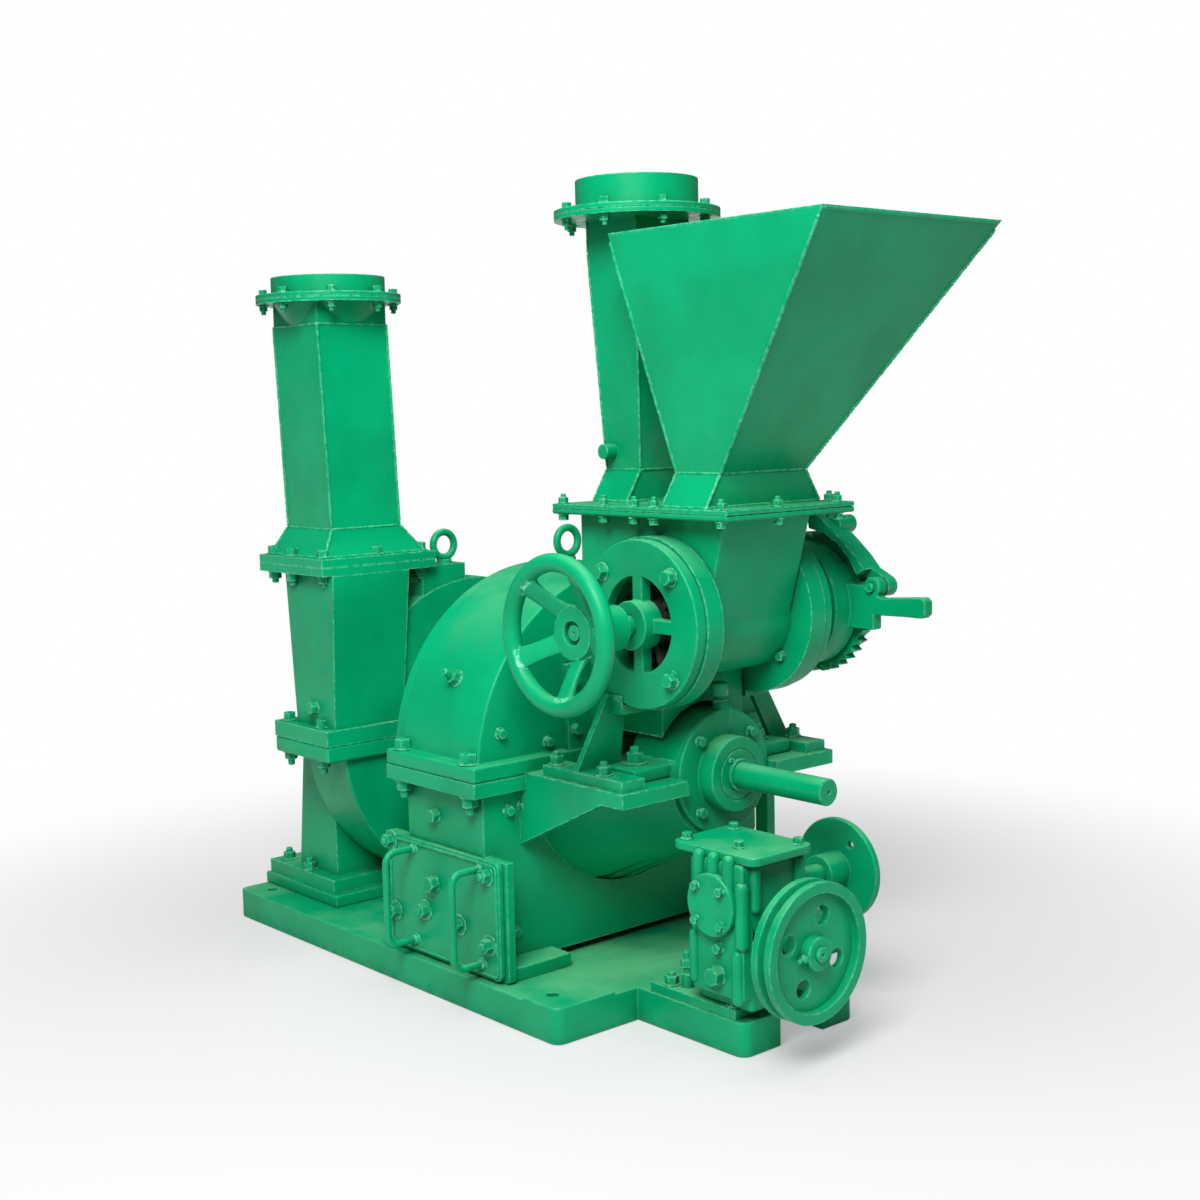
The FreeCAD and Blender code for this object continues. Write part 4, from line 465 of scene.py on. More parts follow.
def turn_up(bm, place, profile, sides=32):
    """Turns a closed solid from (radius, height) points about the place's z axis."""
    rings = []
    for radius, height in profile:
        if radius == 0:
            rings.append([bm.verts.new(place @ Vector((0, 0, height)))])
            continue
        ring = []
        for i in range(sides):
            angle = math.tau * i / sides
            point = Vector((radius * math.cos(angle), radius * math.sin(angle), height))
            ring.append(bm.verts.new(place @ point))
        rings.append(ring)
    for lower, upper in zip(rings, rings[1:]):
        if len(lower) == len(upper):
            bridge(bm, lower, upper)
            continue
        tip, ring = (lower[0], upper) if len(lower) == 1 else (upper[0], lower)
        for i in range(sides):
            bm.faces.new((tip, ring[i], ring[(i + 1) % sides]))
    for ring in (rings[0], rings[-1]):
        if len(ring) > 1:
            bm.faces.new(ring)


def hexagon(bm, place, across, height):
    """A forged hexagon whose corners are turned off at the top."""
    flat = across / 2
    rim = flat * TURNED_RIM
    rings = ([], [], [])
    for i in range(24):
        angle = math.tau * i / 24
        reach = flat / math.cos((angle + math.pi / 6) % (math.pi / 3) - math.pi / 6)
        unit = Vector((math.cos(angle), math.sin(angle), 0))
        shoulder = height - (reach - rim) * 0.5
        for ring, radius, level in zip(rings, (reach, reach, rim), (0, shoulder, height)):
            ring.append(bm.verts.new(place @ (unit * radius + Vector((0, 0, level)))))
    bridge(bm, rings[0], rings[1])
    bridge(bm, rings[1], rings[2])
    bm.faces.new(rings[0])
    bm.faces.new(rings[2])


def bolt(bm, place, across, washer=1.15, stud=0.0):
    """A hexagon head or nut on its washer, with the rounded end of a stud when it is a nut."""
    thick = WASHER_THICKNESS * across
    outer = across * washer / 2 + thick
    rounded = [(outer - thick / 3, 0), (outer, thick / 3), (outer, thick * 0.8), (outer - thick / 3, thick)]
    turn_up(bm, place, rounded, sides=28)
    seat = place @ Matrix.Translation((0, 0, thick))
    height = across * HEAD_HEIGHT
    hexagon(bm, seat, across, height)
    if stud:
        low = height - 0.5 * MM
        radius = across * STUD_RADIUS
        end = [(radius, low), (radius, low + stud), (radius * 0.75, low + stud + radius * 0.25)]
        turn_up(bm, seat, end, sides=16)


def bolts(bm, spots, along, across, washer=1.15, stud=0.0, seed=1):
    """Bolts at points in millimetres, each turned as it happened to be tightened."""
    chance = random.Random(seed)
    for spot in spots:
        bolt(bm, standing(spot, along, chance.uniform(0, math.tau)), across, washer, stud)


def tube(bm, points, radii, sides=10, closed=False):
    """A round bar through points, with its own radius at each, capped or closed on itself."""
    rings = []
    count = len(points)
    side = None
    for i, point in enumerate(points):
        before = points[i - 1] if closed or i else point
        after = points[(i + 1) % count] if closed or i < count - 1 else point
        ahead = (after - before).normalized()
        if side is None:
            side = ahead.orthogonal().normalized()
        side = (side - ahead * side.dot(ahead)).normalized()
        across = ahead.cross(side)
        rings.append([bm.verts.new(point + radii[i] * (side * math.cos(a) + across * math.sin(a)))
                      for a in (math.tau * k / sides for k in range(sides))])
    for lower, upper in zip(rings, rings[1:]):
        bridge(bm, lower, upper)
    if closed:
        bridge(bm, rings[-1], rings[0])
    else:
        bm.faces.new(rings[0])
        bm.faces.new(rings[-1])


def ridge(bm, start_mm, end_mm, radius_mm):
    """A cast ridge: a bar with rounded ends, to be sunk in a casting's face."""
    start, end = Vector(start_mm), Vector(end_mm)
    ahead = (end - start).normalized()
    caps = [math.radians(a) for a in (8, 25, 45, 65, 90)]
    points = [start + ahead * radius_mm * (1 - math.cos(a)) for a in caps]
    points += [end - ahead * radius_mm * (1 - math.cos(a)) for a in reversed(caps)]
    radii = [radius_mm * math.sin(a) for a in caps + caps[::-1]]
    tube(bm, [point * MM for point in points], [radius * MM for radius in radii], sides=20)


def rounded_path(corners_mm, bend, steps=6, closed=False):
    """A path through corners in millimetres, each taken by an arc."""
    corners = [Vector(c) * MM for c in corners_mm]
    count = len(corners)
    path = []
    for i, corner in enumerate(corners):
        if not closed and i in (0, count - 1):
            path.append(corner)
            continue
        back = (corners[i - 1] - corner).normalized()
        ahead = (corners[(i + 1) % count] - corner).normalized()
        half = back.angle(ahead) / 2
        run = bend / math.tan(half)
        centre = corner + (back + ahead).normalized() * (bend / math.sin(half))
        start = (corner + back * run - centre).normalized()
        end = (corner + ahead * run - centre).normalized()
        for k in range(steps + 1):
            path.append(centre + start.slerp(end, k / steps) * bend)
    return path


def weld(bm, start_mm, end_mm, width, seed):
    """A hand-laid weld bead along a seam: overlapping ripples of uneven width."""
    chance = random.Random(seed)
    start, end = Vector(start_mm) * MM, Vector(end_mm) * MM
    count = max(4, int((end - start).length / (width * 0.55)))
    points, radii = [], []
    for i in range(count + 1):
        drift = Vector([chance.uniform(-1, 1) for _ in range(3)]) * width * 0.06
        points.append(start.lerp(end, i / count) + drift)
        ripple = 0.5 if i % 2 else 0.42
        taper = 0.5 if i in (0, count) else 1
        radii.append(width * (ripple + chance.uniform(-0.04, 0.05)) * taper)
    tube(bm, points, radii, sides=8)


def corners_at(box_mm, level):
    """The four corners of a level rectangle (x0, x1, y0, y1), in order round it."""
    x0, x1, y0, y1 = box_mm
    return [(x0, y0, level), (x1, y0, level), (x1, y1, level), (x0, y1, level)]


def weld_round(bm, box_mm, level, width, seed):
    """Weld beads along all four sides of a level rectangle."""
    corners = corners_at(box_mm, level)
    for i, corner in enumerate(corners):
        weld(bm, corner, corners[(i + 1) % 4], width, seed + i)


def weld_corners(bm, low_box, low, high_box, high, width, seed):
    """Weld beads up the four edges between two level rectangles."""
    for i, (start, end) in enumerate(zip(corners_at(low_box, low), corners_at(high_box, high))):
        weld(bm, start, end, width, seed + i)


class MillCastings(bpy.types.Operator):
    """Casts the bed, the mill's casing and cover, and the throat to the blower"""

    bl_idname = "pulveriser.mill_castings"
    bl_label = "Bed and mill castings"

    def execute(self, context):
        rounding = context.scene.pulveriser_castings
        for node in ("base_plate", "mill_lower_casing", "mill_upper_cover", "blower_throat"):
            softened(node, rounding.casting_round)
        return {"FINISHED"}


class BlowerCastings(bpy.types.Operator):
    """Casts the blower's scroll, its pedestal and the outboard bearing's cover"""

    bl_idname = "pulveriser.blower_castings"
    bl_label = "Blower castings"

    def execute(self, context):
        rounding = context.scene.pulveriser_castings
        for node in ("blower_lower_casing", "blower_upper_casing", "blower_pedestal"):
            softened(node, rounding.casting_round)
        for node in ("pedestal_riser", "outboard_cover"):
            softened(node, 2 * rounding.machined_round)
        return {"FINISHED"}


class CleanoutDoor(bpy.types.Operator):
    """Makes the bolted door with its raised border and two bent handles"""

    bl_idname = "pulveriser.cleanout_door"
    bl_label = "Cleanout door"

    def execute(self, context):
        fasteners = context.scene.pulveriser_fasteners
        bend = context.scene.pulveriser_sheet.handle_bend
        softened("cleanout_door", 2.5 * MM, segments=3)
        border = bmesh.new()
        half_width, low, high = 175, 76, 292
        corners = [(-half_width, DOOR_FACE, low), (half_width, DOOR_FACE, low),
                   (half_width, DOOR_FACE, high), (-half_width, DOOR_FACE, high)]
        path = rounded_path(corners, 10 * MM, closed=True)
        tube(border, path, [3.2 * MM] * len(path), sides=10, closed=True)
        new_piece("door_border", border, "frame")
        for side, x in (("left", -93), ("right", 127)):
            self.handle(f"door_handle_{side}", x, bend)
        heads = bmesh.new()
        nuts = [(x, DOOR_FACE, z) for x, z in ((-170, 285), (-159, 141), (-56, 163), (58, 157),
                                               (150, 273), (153, 137))]
        bolts(heads, nuts, TO_NEAR, fasteners.medium, washer=1.5, stud=4 * MM, seed=3)
        bolts(heads, [(-21, DOOR_FACE, 223)], TO_NEAR, fasteners.medium * 1.15, washer=1, seed=4)
        bolts(heads, [(-26, -372, 358)], TO_NEAR, fasteners.medium, washer=1, seed=5)
        new_piece("door_bolts", heads, "frame", material=FORGED)
        return {"FINISHED"}

    def handle(self, node, x, bend):
        """One bent bar handle on its two feet, in place of a node."""
        low, high, reach = 95, 281, -452
        foot = [(13, -0.5), (11.5, 2.5), (8, 6), (6, 7)]
        bar = bmesh.new()
        ends_at = DOOR_FACE - 0.5
        corners = [(x, ends_at, low), (x, reach, low), (x, reach, high), (x, ends_at, high)]
        path = rounded_path(corners, bend, steps=8)
        tube(bar, path, [7 * MM] * len(path), sides=20)
        for level in (low, high):
            turn_up(bar, standing((x, DOOR_FACE, level), TO_NEAR), in_metres(foot), sides=18)
        new_piece(f"{node}_bar", bar, "frame", replaces=[node])


class Bearing(bpy.types.Operator):
    """Makes the bearing on its bracket, its cover and grease cup, and the drive shaft"""

    bl_idname = "pulveriser.bearing"
    bl_label = "Bearing and drive shaft"

    def execute(self, context):
        rounding = context.scene.pulveriser_castings
        fasteners = context.scene.pulveriser_fasteners
        softened("bearing_bracket", rounding.casting_round)
        softened("bearing_housing", rounding.casting_round)
        softened("bearing_cover", 2 * rounding.machined_round, segments=3)
        self.grease_cup()
        shaft = bmesh.new()
        profile = [(0, 260), (25, 260), (25, 432.3), (48, 432.3), (48, 441), (47, 442), (31, 442),
                   (31, 449), (30, 450), (25, 450), (25, 664.5), (22.5, 667), (5, 667), (3.5, 664),
                   (0, 660)]
        turn_up(shaft, standing((0, 0, SHAFT_LEVEL), TO_RIGHT), in_metres(profile), sides=64)
        new_piece("main_shaft_turned", shaft, "rotor", replaces=["main_shaft"])
        screw = bmesh.new()
        bolts(screw, [(441.5, -22, 480)], TO_RIGHT, fasteners.small / 2, washer=1, seed=6)
        new_piece("seal_ring_screw", screw, "rotor", material=FORGED)
        heads = bmesh.new()
        diagonals = [(404, y, SHAFT_LEVEL + z) for y, z in round_points(97, 4, first=45)]
        bolts(heads, diagonals, TO_RIGHT, fasteners.small, washer=1, seed=7)
        for side in BOTH_SIDES:
            bolts(heads, [(330, side * 165, 480)], UP, fasteners.large, washer=1.3, stud=9 * MM,
                  seed=8 + side)
            bolts(heads, [(205, side * 252, 474), (345, side * 256, 474)], UP, fasteners.medium,
                  stud=7 * MM, seed=10 + side)
        new_piece("bearing_bolts", heads, "frame", material=FORGED)
        return {"FINISHED"}

    def grease_cup(self):
        """The grease cup over the bearing, and the boss on the housing that carries it."""
        x, y, top = 380, 12, 564
        cup = bmesh.new()
        base = standing((x, y, top))
        turn_up(cup, base, in_metres([(8, 2), (8, 12)]), sides=20)
        hexagon(cup, raised(base, 11), 26 * MM, 12 * MM)
        profile = [(9, 22), (10, 27), (15.5, 29), (17, 31), (17, 50), (16, 53.5), (12, 56), (6, 57.7),
                   (0, 58)]
        turn_up(cup, base, in_metres(profile), sides=28)
        new_piece("grease_cup_body", cup, "frame", replaces=["grease_cup"])
        boss = bmesh.new()
        ridge(boss, (386, y, 500), (386, y, 585), 20)
        new_piece("grease_boss", boss, "frame", "cast_enamel")


# Level rectangles (x0, x1, y0, y1) in millimetres where the walls of each duct change slope.
OUTLET = {"foot": (-594, -376, -389, -136), "low": (-577, -402, -352, -180),
          "high": (-587, -412, -362, -190)}
HOPPER = {"foot": (387, 501, -136, 166), "throat": (387, 501, -98, 128),
          "below_rim": (251, 770, -131, 348), "mouth": (246, 780, -132, 356)}
VENT = {"foot": (103, 201, -57, 117), "low": (103, 201, -19, 79), "high": (82, 222, -40, 100)}
MOUTH_LEVEL = 1471
# Seams of each duct: beads up the corners between two rectangles at their heights, then beads round
# one rectangle, each with its share of the bead's width.
DUCT_SEAMS = (
    ("outlet_duct_welds", OUTLET, 11,
     (("foot", 847, "low", 905, 1), ("low", 905, "high", 1336, 1)),
     (("foot", 848, 1), ("low", 905, 0.8), ("high", 1335, 0.8))),
    ("hopper_welds", HOPPER, 31,
     (("foot", 963, "throat", 1025, 1), ("throat", 1025, "below_rim", 1455, 1)),
     (("foot", 964, 1), ("throat", 1025, 0.8))),
    ("vent_duct_welds", VENT, 51,
     (("foot", 963, "low", 1025, 1), ("low", 1025, "high", 1450, 0.8), ("high", 1450, "high", 1512, 0.8)),
     (("foot", 964, 1), ("low", 1025, 0.8))),
)
BEADS_A_RUN = 4


class SheetDucts(bpy.types.Operator):
    """Folds the outlet duct, the vent duct, the hopper and the chute, and welds their seams"""

    bl_idname = "pulveriser.sheet_ducts"
    bl_label = "Ducts and hopper"

    def execute(self, context):
        rounding = context.scene.pulveriser_castings.sheet_round
        sheet = context.scene.pulveriser_sheet
        for node in ("outlet_duct", "outlet_collar", "hopper_foot", "hopper", "vent_duct", "vent_collar",
                     "feed_chute"):
            softened(node, rounding)
        for name, duct, seed, runs, rounds in DUCT_SEAMS:
            seams = bmesh.new()
            for lower, low, upper, high, share in runs:
                weld_corners(seams, duct[lower], low, duct[upper], high, sheet.weld_width * share, seed)
                seed += BEADS_A_RUN
            for edge, level, share in rounds:
                weld_round(seams, duct[edge], level, sheet.weld_width * share, seed)
                seed += BEADS_A_RUN
            new_piece(name, seams, "frame", "sheet_enamel", FORGED)
        rim = bmesh.new()
        inset = sheet.rim_rod / MM / 2
        x0, x1, y0, y1 = HOPPER["mouth"]
        mouth = (x0 + inset, x1 - inset, y0 + inset, y1 - inset)
        path = rounded_path(corners_at(mouth, MOUTH_LEVEL - inset), 6 * MM, closed=True)
        tube(rim, path, [sheet.rim_rod / 2] * len(path), sides=14, closed=True)
        new_piece("hopper_rim", rim, "frame", "sheet_enamel")
        return {"FINISHED"}


class Feeder(bpy.types.Operator):
    """Casts the feeder's barrel and end covers on their stands, bolts the covers, and leaves the roller
    inside bare steel
    """

    bl_idname = "pulveriser.feeder"
    bl_label = "Feeder"

    def execute(self, context):
        rounding = context.scene.pulveriser_castings
        fasteners = context.scene.pulveriser_fasteners
        softened("feeder_barrel", rounding.casting_round * 0.8)
        for side in ("near", "far"):
            softened(f"feeder_cover_{side}", rounding.casting_round * 0.6, segments=3)
            softened(f"feeder_stand_{side}", rounding.machined_round * 0.6)
        refinish("feed_roller", BARE)
        heads = bmesh.new()
        cover_face, circle = 181, 132
        for side in BOTH_SIDES:
            ring = [(FEEDER_X + x, side * cover_face, FEEDER_LEVEL + z)
                    for x, z in round_points(circle, 4, first=45)]
            bolts(heads, ring, (0, side, 0), fasteners.medium, washer=1.25, seed=70 + side)
        bolts(heads, [(448, 117, 665)], TO_NEAR, fasteners.small, washer=1, seed=73)
        new_piece("feeder_cover_bolts", heads, "frame", material=FORGED)
        return {"FINISHED"}


class Handwheel(bpy.types.Operator):
    """Casts the handwheel with five broad spokes, its sleeve, and the shaft's end in the hub"""

    bl_idname = "pulveriser.handwheel"
    bl_label = "Handwheel"

    spokes = 5
    first_spoke = 134
    rim_circle = 130
    rim_steps = 96
    rim_plane = -373

    def execute(self, context):
        wheel = bmesh.new()
        centre = Vector((FEEDER_X, 0, FEEDER_LEVEL)) * MM
        rim = []
        for k in range(self.rim_steps):
            angle = math.tau * k / self.rim_steps
            rim.append(centre + Vector((self.rim_circle * math.cos(angle), self.rim_plane,
                                        self.rim_circle * math.sin(angle))) * MM)
        tube(wheel, rim, [17 * MM] * len(rim), sides=28, closed=True)
        hub = [(0, 0), (41, 0), (42, 1), (42, 57), (44, 61), (48, 62), (50, 64.5), (50, 103), (49, 105.2),
               (47, 106), (24, 106), (22.5, 105), (22, 103), (22, 94), (0, 94)]
        turn_up(wheel, standing((FEEDER_X, -234, FEEDER_LEVEL), TO_NEAR), in_metres(hub), sides=72)
        for turn in range(self.spokes):
            self.spoke(wheel, centre, math.radians(self.first_spoke + 360 // self.spokes * turn))
        new_piece("handwheel_cast", wheel, "feeder_rotor", "cast_enamel", replaces=["handwheel"])
        shaft = bmesh.new()
        profile = [(0, -356), (18, -356), (20, -354), (20, 329), (15, 329), (15, 334), (13.5, 335.5),
                   (5, 335.5), (3.5, 333), (0, 329)]
        turn_up(shaft, standing((FEEDER_X, 0, FEEDER_LEVEL), TO_NEAR), in_metres(profile), sides=48)
        new_piece("feeder_shaft_turned", shaft, "feeder_rotor", replaces=["feeder_shaft"])
        return {"FINISHED"}

    def spoke(self, bm, centre, angle):
        """One spoke: flat oval in section, spread where it meets the hub and the rim."""
        out = Vector((math.cos(angle), 0, math.sin(angle)))
        across = Vector((-math.sin(angle), 0, math.cos(angle)))
        # radius, place along the shaft, half width and half depth at each station
        stations = [(44, -323, 23, 12), (56, -333, 18.5, 9), (72, -346, 17.5, 7.5), (90, -358, 18, 7.5),
                    (106, -367, 19.5, 8.5), (119, -373, 24, 12)]
        # the power that squares the oval a little
        squareness = 0.7
        sides = 24
        rings = []
        for radius, along, half_width, half_depth in stations:
            middle = centre + (out * radius + Vector((0, along, 0))) * MM
            ring = []
            for k in range(sides):
                turn = math.tau * k / sides
                wide, deep = math.cos(turn), math.sin(turn)
                wide = math.copysign(abs(wide) ** squareness, wide) * half_width
                deep = math.copysign(abs(deep) ** squareness, deep) * half_depth
                ring.append(bm.verts.new(middle + (across * wide + Vector((0, deep, 0))) * MM))
            rings.append(ring)
        for lower, upper in zip(rings, rings[1:]):
            bridge(bm, lower, upper)
        bm.faces.new(rings[0])
        bm.faces.new(rings[-1])


class Ratchet(bpy.types.Operator):
    """Makes the ratchet wheel, its lever, and the hooked pawl on its pin"""

    bl_idname = "pulveriser.ratchet"
    bl_label = "Ratchet drive"

    def execute(self, context):
        rounding = context.scene.pulveriser_castings
        fasteners = context.scene.pulveriser_fasteners
        softened("ratchet_wheel", rounding.machined_round * 0.6)
        softened("ratchet_lever", rounding.casting_round * 0.6)
        softened("pawl", rounding.casting_round * 0.5)
        nut = bmesh.new()
        bolts(nut, [(FEEDER_X, 339.5, FEEDER_LEVEL)], TO_FAR, fasteners.large, washer=1.2, seed=91)
        new_piece("ratchet_nut", nut, "feeder_rotor", material=FORGED)
        pin = bmesh.new()
        bolts(pin, [(540, 325.5, 790)], TO_FAR, fasteners.small, washer=1.3, stud=3 * MM, seed=92)
        new_piece("pawl_pin_bolt", pin, "pawl_arm", material=FORGED)
        return {"FINISHED"}


class Gearbox(bpy.types.Operator):
    """Casts the worm gearbox with its ribs, plugs and bolts, and the crank disc"""

    bl_idname = "pulveriser.gearbox"
    bl_label = "Gearbox and crank"

    # x, y, lowest and highest point and radius of each cast ridge, in millimetres
    ridges = ((549, -213, 296, 366, 12), (585, -213, 296, 366, 12), (622, -213, 296, 366, 12),
              (648, -208, 198, 322, 13), (654, -182, 262, 350, 11), (640, -211, 98, 200, 12),
              (532, -211, 118, 216, 10), (654, -70, 110, 350, 12))

    def execute(self, context):
        rounding = context.scene.pulveriser_castings
        softened("gearbox_case", rounding.casting_round * 2, segments=4)
        softened("gearbox_top_plate", rounding.casting_round * 0.6)
        softened("gearbox_side_cover", rounding.casting_round * 0.8, segments=3)
        softened("gearbox_foot", rounding.machined_round)
        softened("crank_disc", rounding.casting_round * 0.5)
        softened("output_shaft", rounding.machined_round)
        ribs = bmesh.new()
        for x, y, low, high, radius in self.ridges:
            ridge(ribs, (x, y, low), (x, y, high), radius)
        new_piece("gearbox_ribs", ribs, "frame", "cast_enamel")
        cap = bmesh.new()
        profile = [(46, 0), (46, 14), (43, 18), (38, 20), (0, 20)]
        turn_up(cap, standing((524, WORM_Y, WORM_LEVEL), TO_LEFT), in_metres(profile), sides=48)
        new_piece("gearbox_worm_cap", cap, "frame", "cast_enamel")
        self.fasten(context.scene.pulveriser_fasteners)
        return {"FINISHED"}

    def fasten(self, fasteners):
        """The bolts of the side cover, top plate and foot, the two plugs and the foot's long stud."""
        heads = bmesh.new()
        cover_x, cover_y, cover_level, circle = 588, -229, 273, 44
        ring = [(cover_x + x, cover_y, cover_level + z) for x, z in round_points(circle, 4, first=45)]
        bolts(heads, ring, TO_NEAR, fasteners.small * 0.85, washer=1, seed=101)
        bolts(heads, [(594, -212.5, 145)], TO_NEAR, fasteners.large, washer=1, seed=102)
        bolts(heads, [(598, -212.5, 195)], TO_NEAR, fasteners.small, washer=1, seed=103)
        plate = [(x, y, 368) for x, y in ((601, -165), (660, -75), (500, -75), (490, -185))]
        bolts(heads, plate, UP, fasteners.small, seed=104)
        foot = [(x, y, 82) for x, y in ((439, -182), (602, -180), (439, -60))]
        bolts(heads, foot, UP, fasteners.medium, stud=6 * MM, seed=105)
        stud = standing((470, -170, 81.5))
        profile = [(12, 0), (12, 26), (8, 28), (8, 67), (6, 69)]
        turn_up(heads, stud, in_metres(profile), sides=20)
        hexagon(heads, raised(stud, 40), fasteners.medium, 15 * MM)
        new_piece("gearbox_bolts", heads, "frame", material=FORGED)


class DrivePulley(bpy.types.Operator):
    """Casts the V pulley on the turned worm shaft, with its set screw"""

    bl_idname = "pulveriser.drive_pulley"
    bl_label = "Drive pulley"

    def execute(self, context):
        rounding = context.scene.pulveriser_castings
        softened("drive_pulley", rounding.machined_round)
        shaft = bmesh.new()
        profile = [(0, 616), (14, 616), (14, 770), (12, 772), (3.5, 772), (2.5, 770), (0, 767)]
        turn_up(shaft, standing((0, WORM_Y, WORM_LEVEL), TO_RIGHT), in_metres(profile), sides=40)
        new_piece("worm_shaft_turned", shaft, "worm", replaces=["worm_shaft"])
        screw = bmesh.new()
        place = standing((757, -163, 202), (0, -1, -0.15))
        turn_up(screw, place, in_metres([(4, 0), (4, 19), (3, 20)]), sides=14)
        hexagon(screw, raised(place, 3), 14 * MM, 8 * MM)
        new_piece("pulley_set_screw", screw, "worm", material=FORGED)
        return {"FINISHED"}


class CasingBolts(bpy.types.Operator):
    """Bolts the casings, the pedestal and the chute"""

    bl_idname = "pulveriser.casing_bolts"
    bl_label = "Casing bolts"

    def execute(self, context):
        fasteners = context.scene.pulveriser_fasteners
        self.joints(fasteners)
        heads = bmesh.new()
        web, face = 125, 141
        for side in BOTH_SIDES:
            places = ((327, 534), (210, 501), (313, 382), (278, 387), (304, 140))
            spots = [(web, side * y, z) for y, z in places]
            bolts(heads, spots, TO_RIGHT, fasteners.small, washer=1.2, seed=120 + side)
            spots = [(face, side * 152, 520), (face, side * 152, 618)]
            bolts(heads, spots, TO_RIGHT, fasteners.small, seed=123 + side)
            spots = [(-739, side * 290, 120), (-626, side * 305, 120)]
            bolts(heads, spots, UP, fasteners.medium, washer=1.3, stud=8 * MM, seed=126 + side)
        # stud and nut on the rounded front of the cover
        cover_radius = 381
        slope = math.radians(152)
        radial = (0, math.cos(slope), math.sin(slope))
        spot = (8, cover_radius * radial[1], SHAFT_LEVEL + cover_radius * radial[2])
        bolts(heads, [spot], radial, fasteners.medium, washer=1.2, stud=18 * MM, seed=130)
        # single bolts on the blower's near faces
        bolts(heads, [(-446, -380.5, 523)], TO_NEAR, fasteners.medium, washer=1, seed=131)
        bolts(heads, [(-412, -138, 787)], TO_NEAR, fasteners.medium, washer=1, seed=132)
        ring = [(-702, y, SHAFT_LEVEL + z) for y, z in round_points(82, 6, first=30)]
        bolts(heads, ring, TO_LEFT, fasteners.small, washer=1, seed=133)
        new_piece("casing_bolts", heads, "frame", material=FORGED)
        return {"FINISHED"}

    def joints(self, fasteners):
        """Bolts and nuts through the level joints of the mill's and the blower's casings."""
        heads = bmesh.new()
        for side in BOTH_SIDES:
            spots = [(-113, side * 386), (104, side * 386)]
            bolts(heads, [(x, y, 480) for x, y in spots], UP, fasteners.large, washer=1.1,
                  seed=110 + side)
            bolts(heads, [(x, y, 420) for x, y in spots], DOWN, fasteners.large, washer=1.1,
                  stud=14 * MM, seed=113 + side)
        for x, y in ((-552, -384), (-417, -384), (-552, 358), (-417, 358), (-554, -230), (-554, 230)):
            bolts(heads, [(x, y, 484)], UP, fasteners.medium, seed=116)
            bolts(heads, [(x, y, 416)], DOWN, fasteners.medium, stud=12 * MM, seed=117)
        new_piece("joint_bolts", heads, "frame", material=FORGED)


class DuctBolts(bpy.types.Operator):
    """Bolts the flanges of the ducts, the collars and the feeder's top plate"""

    bl_idname = "pulveriser.duct_bolts"
    bl_label = "Duct bolts"

    # centre, radius of the bolt circle, height of its top and angle of the first bolt in degrees
    collars = (((-499.5, -276), 138, 1400, 15), ((152, 30), 145, 1532, 22.5))
    collar_thickness = 20

    def execute(self, context):
        fasteners = context.scene.pulveriser_fasteners
        heads = bmesh.new()
        for centre, radius, top, first in self.collars:
            ring = [(centre[0] + x, centre[1] + y) for x, y in round_points(radius, 8, first)]
            below = top - self.collar_thickness
            bolts(heads, [(x, y, top) for x, y in ring], UP, fasteners.small, seed=141)
            bolts(heads, [(x, y, below) for x, y in ring], DOWN, fasteners.small, stud=7 * MM, seed=142)
        foot = [(-590, -382), (-502, -390), (-390, -382), (-385, -255), (-390, -138), (-495, -134),
                (-590, -138), (-596, -260)]
        bolts(heads, [(x, y, 847) for x, y in foot], UP, fasteners.medium, seed=143)
        bolts(heads, [(x, y, 811) for x, y in foot], DOWN, fasteners.medium, stud=8 * MM, seed=144)
        plate = [(112, -143), (232, -143), (317, -143), (372, -143), (547, -143), (560, -12), (560, 150),
                 (112, 173), (232, 173), (317, 173), (372, 173), (520, 173), (104, 30)]
        bolts(heads, [(x, y, 963) for x, y in plate], UP, fasteners.small, stud=6 * MM, seed=145)
        bolts(heads, [(x, y, 943) for x, y in plate], DOWN, fasteners.small, seed=146)
        new_piece("duct_bolts", heads, "frame", "sheet_enamel", FORGED)
        return {"FINISHED"}


class Eyebolts(bpy.types.Operator):
    """Finishes the two forged lifting eyes"""

    bl_idname = "pulveriser.eyebolts"
    bl_label = "Lifting eyes"

    def execute(self, context):
        for node in ("blower_eyebolt", "mill_eyebolt"):
            refinish(node, FORGED)
        return {"FINISHED"}


def lamp(name, position, target, size, watts):
    """A square lamp that looks at a point."""
    light = bpy.data.lights.new(name, "AREA")
    light.energy = watts
    light.size = size
    holder = bpy.data.objects.new(name, light)
    bpy.context.scene.collection.objects.link(holder)
    holder.location = position
    holder.rotation_euler = (Vector(target) - Vector(position)).to_track_quat("-Z", "Y").to_euler()


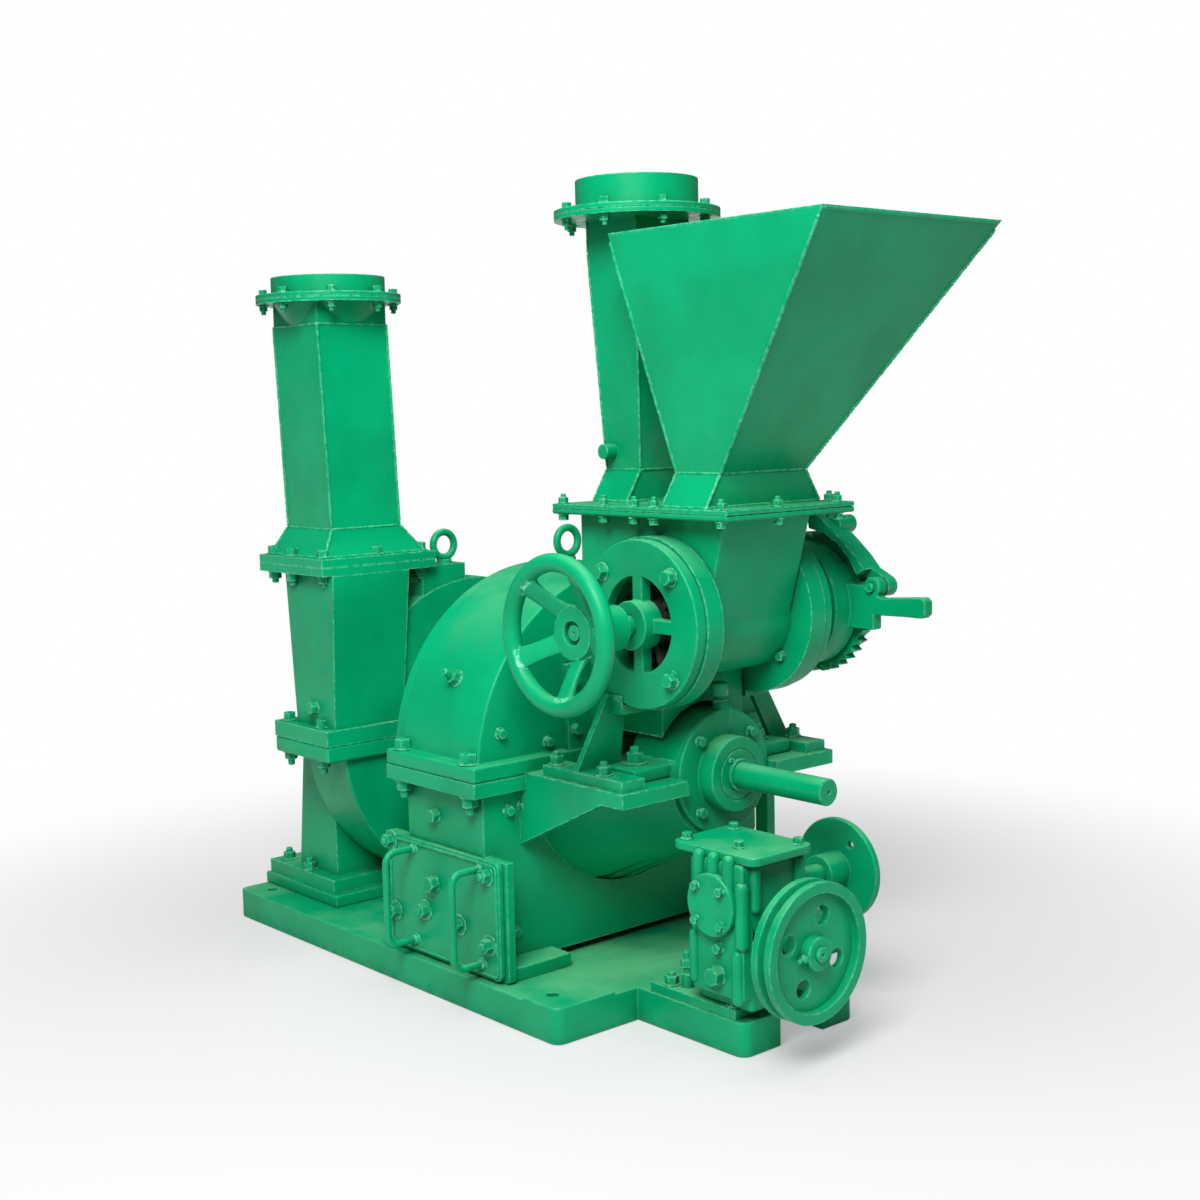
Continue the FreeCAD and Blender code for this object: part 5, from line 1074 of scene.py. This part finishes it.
class Stage(bpy.types.Operator):
    """Sets the camera at the photograph's angle over a pale floor in soft studio light"""

    bl_idname = "pulveriser.stage"
    bl_label = "Camera, floor and lamps"

    # distances from the middle between which the floor turns from paper to white, in metres
    paper_reach = (0.7, 2.2)

    def execute(self, context):
        settings = context.scene.pulveriser_stage
        scene = context.scene
        for spare in [o for o in scene.objects if o.name in ("Cube", "Light", "Camera")]:
            bpy.data.objects.remove(spare)
        scene.view_settings.view_transform = "Standard"
        self.camera(scene, settings.lens)
        self.ground(scene, settings.floor)
        self.surround(scene, settings.fill)
        lamp("key_lamp", (2.0, -2.5, 3.4), (0, 0, 0.6), 1.8, settings.key_power)
        lamp("top_lamp", (0.6, -0.2, 4.2), (0, 0, 0.8), 2.8, settings.top_power)
        return {"FINISHED"}

    def camera(self, scene, lens):
        """The photograph's camera."""
        camera = bpy.data.objects.new("Camera", bpy.data.cameras.new("Camera"))
        scene.collection.objects.link(camera)
        camera.data.lens = lens
        camera.data.sensor_width = SENSOR_WIDTH_MM
        camera.data.clip_end = 100
        around, pitch, roll = (math.radians(a) for a in (CAMERA_AROUND, CAMERA_PITCH, CAMERA_ROLL))
        level = math.cos(pitch)
        back = Vector((math.sin(around) * level, -math.cos(around) * level, math.sin(pitch)))
        right = Vector((math.cos(around), math.sin(around), 0))
        up = back.cross(right)
        tilted_right = math.cos(roll) * right + math.sin(roll) * up
        tilted_up = math.cos(roll) * up - math.sin(roll) * right
        turn = Matrix((tilted_right, tilted_up, back)).transposed().to_4x4()
        camera.matrix_world = Matrix.Translation(CAMERA_PLACE) @ turn
        scene.camera = camera

    def ground(self, scene, colour):
        """A wide floor just under the machine."""
        floor = bmesh.new()
        bmesh.ops.create_grid(floor, x_segments=1, y_segments=1, size=30)
        mesh = bpy.data.meshes.new("studio_floor")
        floor.to_mesh(mesh)
        floor.free()
        mesh.materials.append(self.paper(colour))
        ground = bpy.data.objects.new("studio_floor", mesh)
        ground.location.z = -0.5 * MM
        scene.collection.objects.link(ground)

    def paper(self, colour):
        """Matt paper that takes the shadow near the machine and turns to plain white far off."""
        material = bpy.data.materials.new("matt_paper")
        tree = empty_tree(material)
        place = add_node(tree, "ShaderNodeTexCoord").outputs["Object"]
        reach = add_node(tree, "ShaderNodeVectorMath", {0: place}, operation="LENGTH").outputs["Value"]
        far = remap(tree, reach, self.paper_reach, (0.35, 1.0), interpolation_type="SMOOTHSTEP")
        path = add_node(tree, "ShaderNodeLightPath").outputs
        seen = combine(tree, "MAXIMUM", path["Is Camera Ray"], path["Is Glossy Ray"])
        share = combine(tree, "MULTIPLY", far, seen)
        matt = add_node(tree, "ShaderNodeBsdfDiffuse", {"Color": (*colour, 1)}).outputs[0]
        white = add_node(tree, "ShaderNodeEmission", {"Color": (1, 1, 1, 1), "Strength": 1.0}).outputs[0]
        both = add_node(tree, "ShaderNodeMixShader", {0: share, 1: matt, 2: white}).outputs[0]
        add_node(tree, "ShaderNodeOutputMaterial", {"Surface": both})
        return material

    def surround(self, scene, fill):
        """Even pale light all round, seen as white by the camera."""
        world = bpy.data.worlds.new("studio")
        tree = empty_tree(world)
        path = add_node(tree, "ShaderNodeLightPath").outputs
        strength = remap(tree, path["Is Camera Ray"], WHOLE, (fill, 1.0))
        light = add_node(tree, "ShaderNodeBackground", {"Color": (1, 1, 1, 1), "Strength": strength})
        add_node(tree, "ShaderNodeOutputWorld", {"Surface": light.outputs[0]})
        scene.world = world


OPERATORS = (Stage, MillCastings, BlowerCastings, CleanoutDoor, Bearing, SheetDucts, Feeder, Handwheel,
             Ratchet, Gearbox, DrivePulley, CasingBolts, DuctBolts, Eyebolts)
GROUPS = {
    "pulveriser_enamel": EnamelSettings,
    "pulveriser_castings": CastingSettings,
    "pulveriser_fasteners": FastenerSettings,
    "pulveriser_sheet": SheetSettings,
    "pulveriser_stage": StageSettings,
}


class PulveriserPanel(bpy.types.Panel):
    """Lists the pulveriser's settings and the operators that build it"""

    bl_idname = "VIEW3D_PT_pulveriser"
    bl_label = "Impact pulveriser"
    bl_space_type = "VIEW_3D"
    bl_region_type = "UI"
    bl_category = "Pulveriser"

    def draw(self, context):
        for name in GROUPS:
            group = getattr(context.scene, name)
            box = self.layout.box()
            for setting in group.bl_rna.properties:
                if setting.identifier not in ("rna_type", "name"):
                    box.prop(group, setting.identifier)
        for operator in OPERATORS:
            self.layout.operator(operator.bl_idname)


def register():
    for cls in (*GROUPS.values(), *OPERATORS, PulveriserPanel):
        bpy.utils.register_class(cls)
    for name, group in GROUPS.items():
        setattr(bpy.types.Scene, name, PointerProperty(type=group))


def unregister():
    for name in GROUPS:
        delattr(bpy.types.Scene, name)
    for cls in reversed((*GROUPS.values(), *OPERATORS, PulveriserPanel)):
        bpy.utils.unregister_class(cls)


def main():
    """Builds every piece in order."""
    register()
    for operator in OPERATORS:
        group, name = operator.bl_idname.split(".")
        getattr(getattr(bpy.ops, group), name)()
    bpy.context.view_layer.update()


if __name__ == "__main__":
    main()
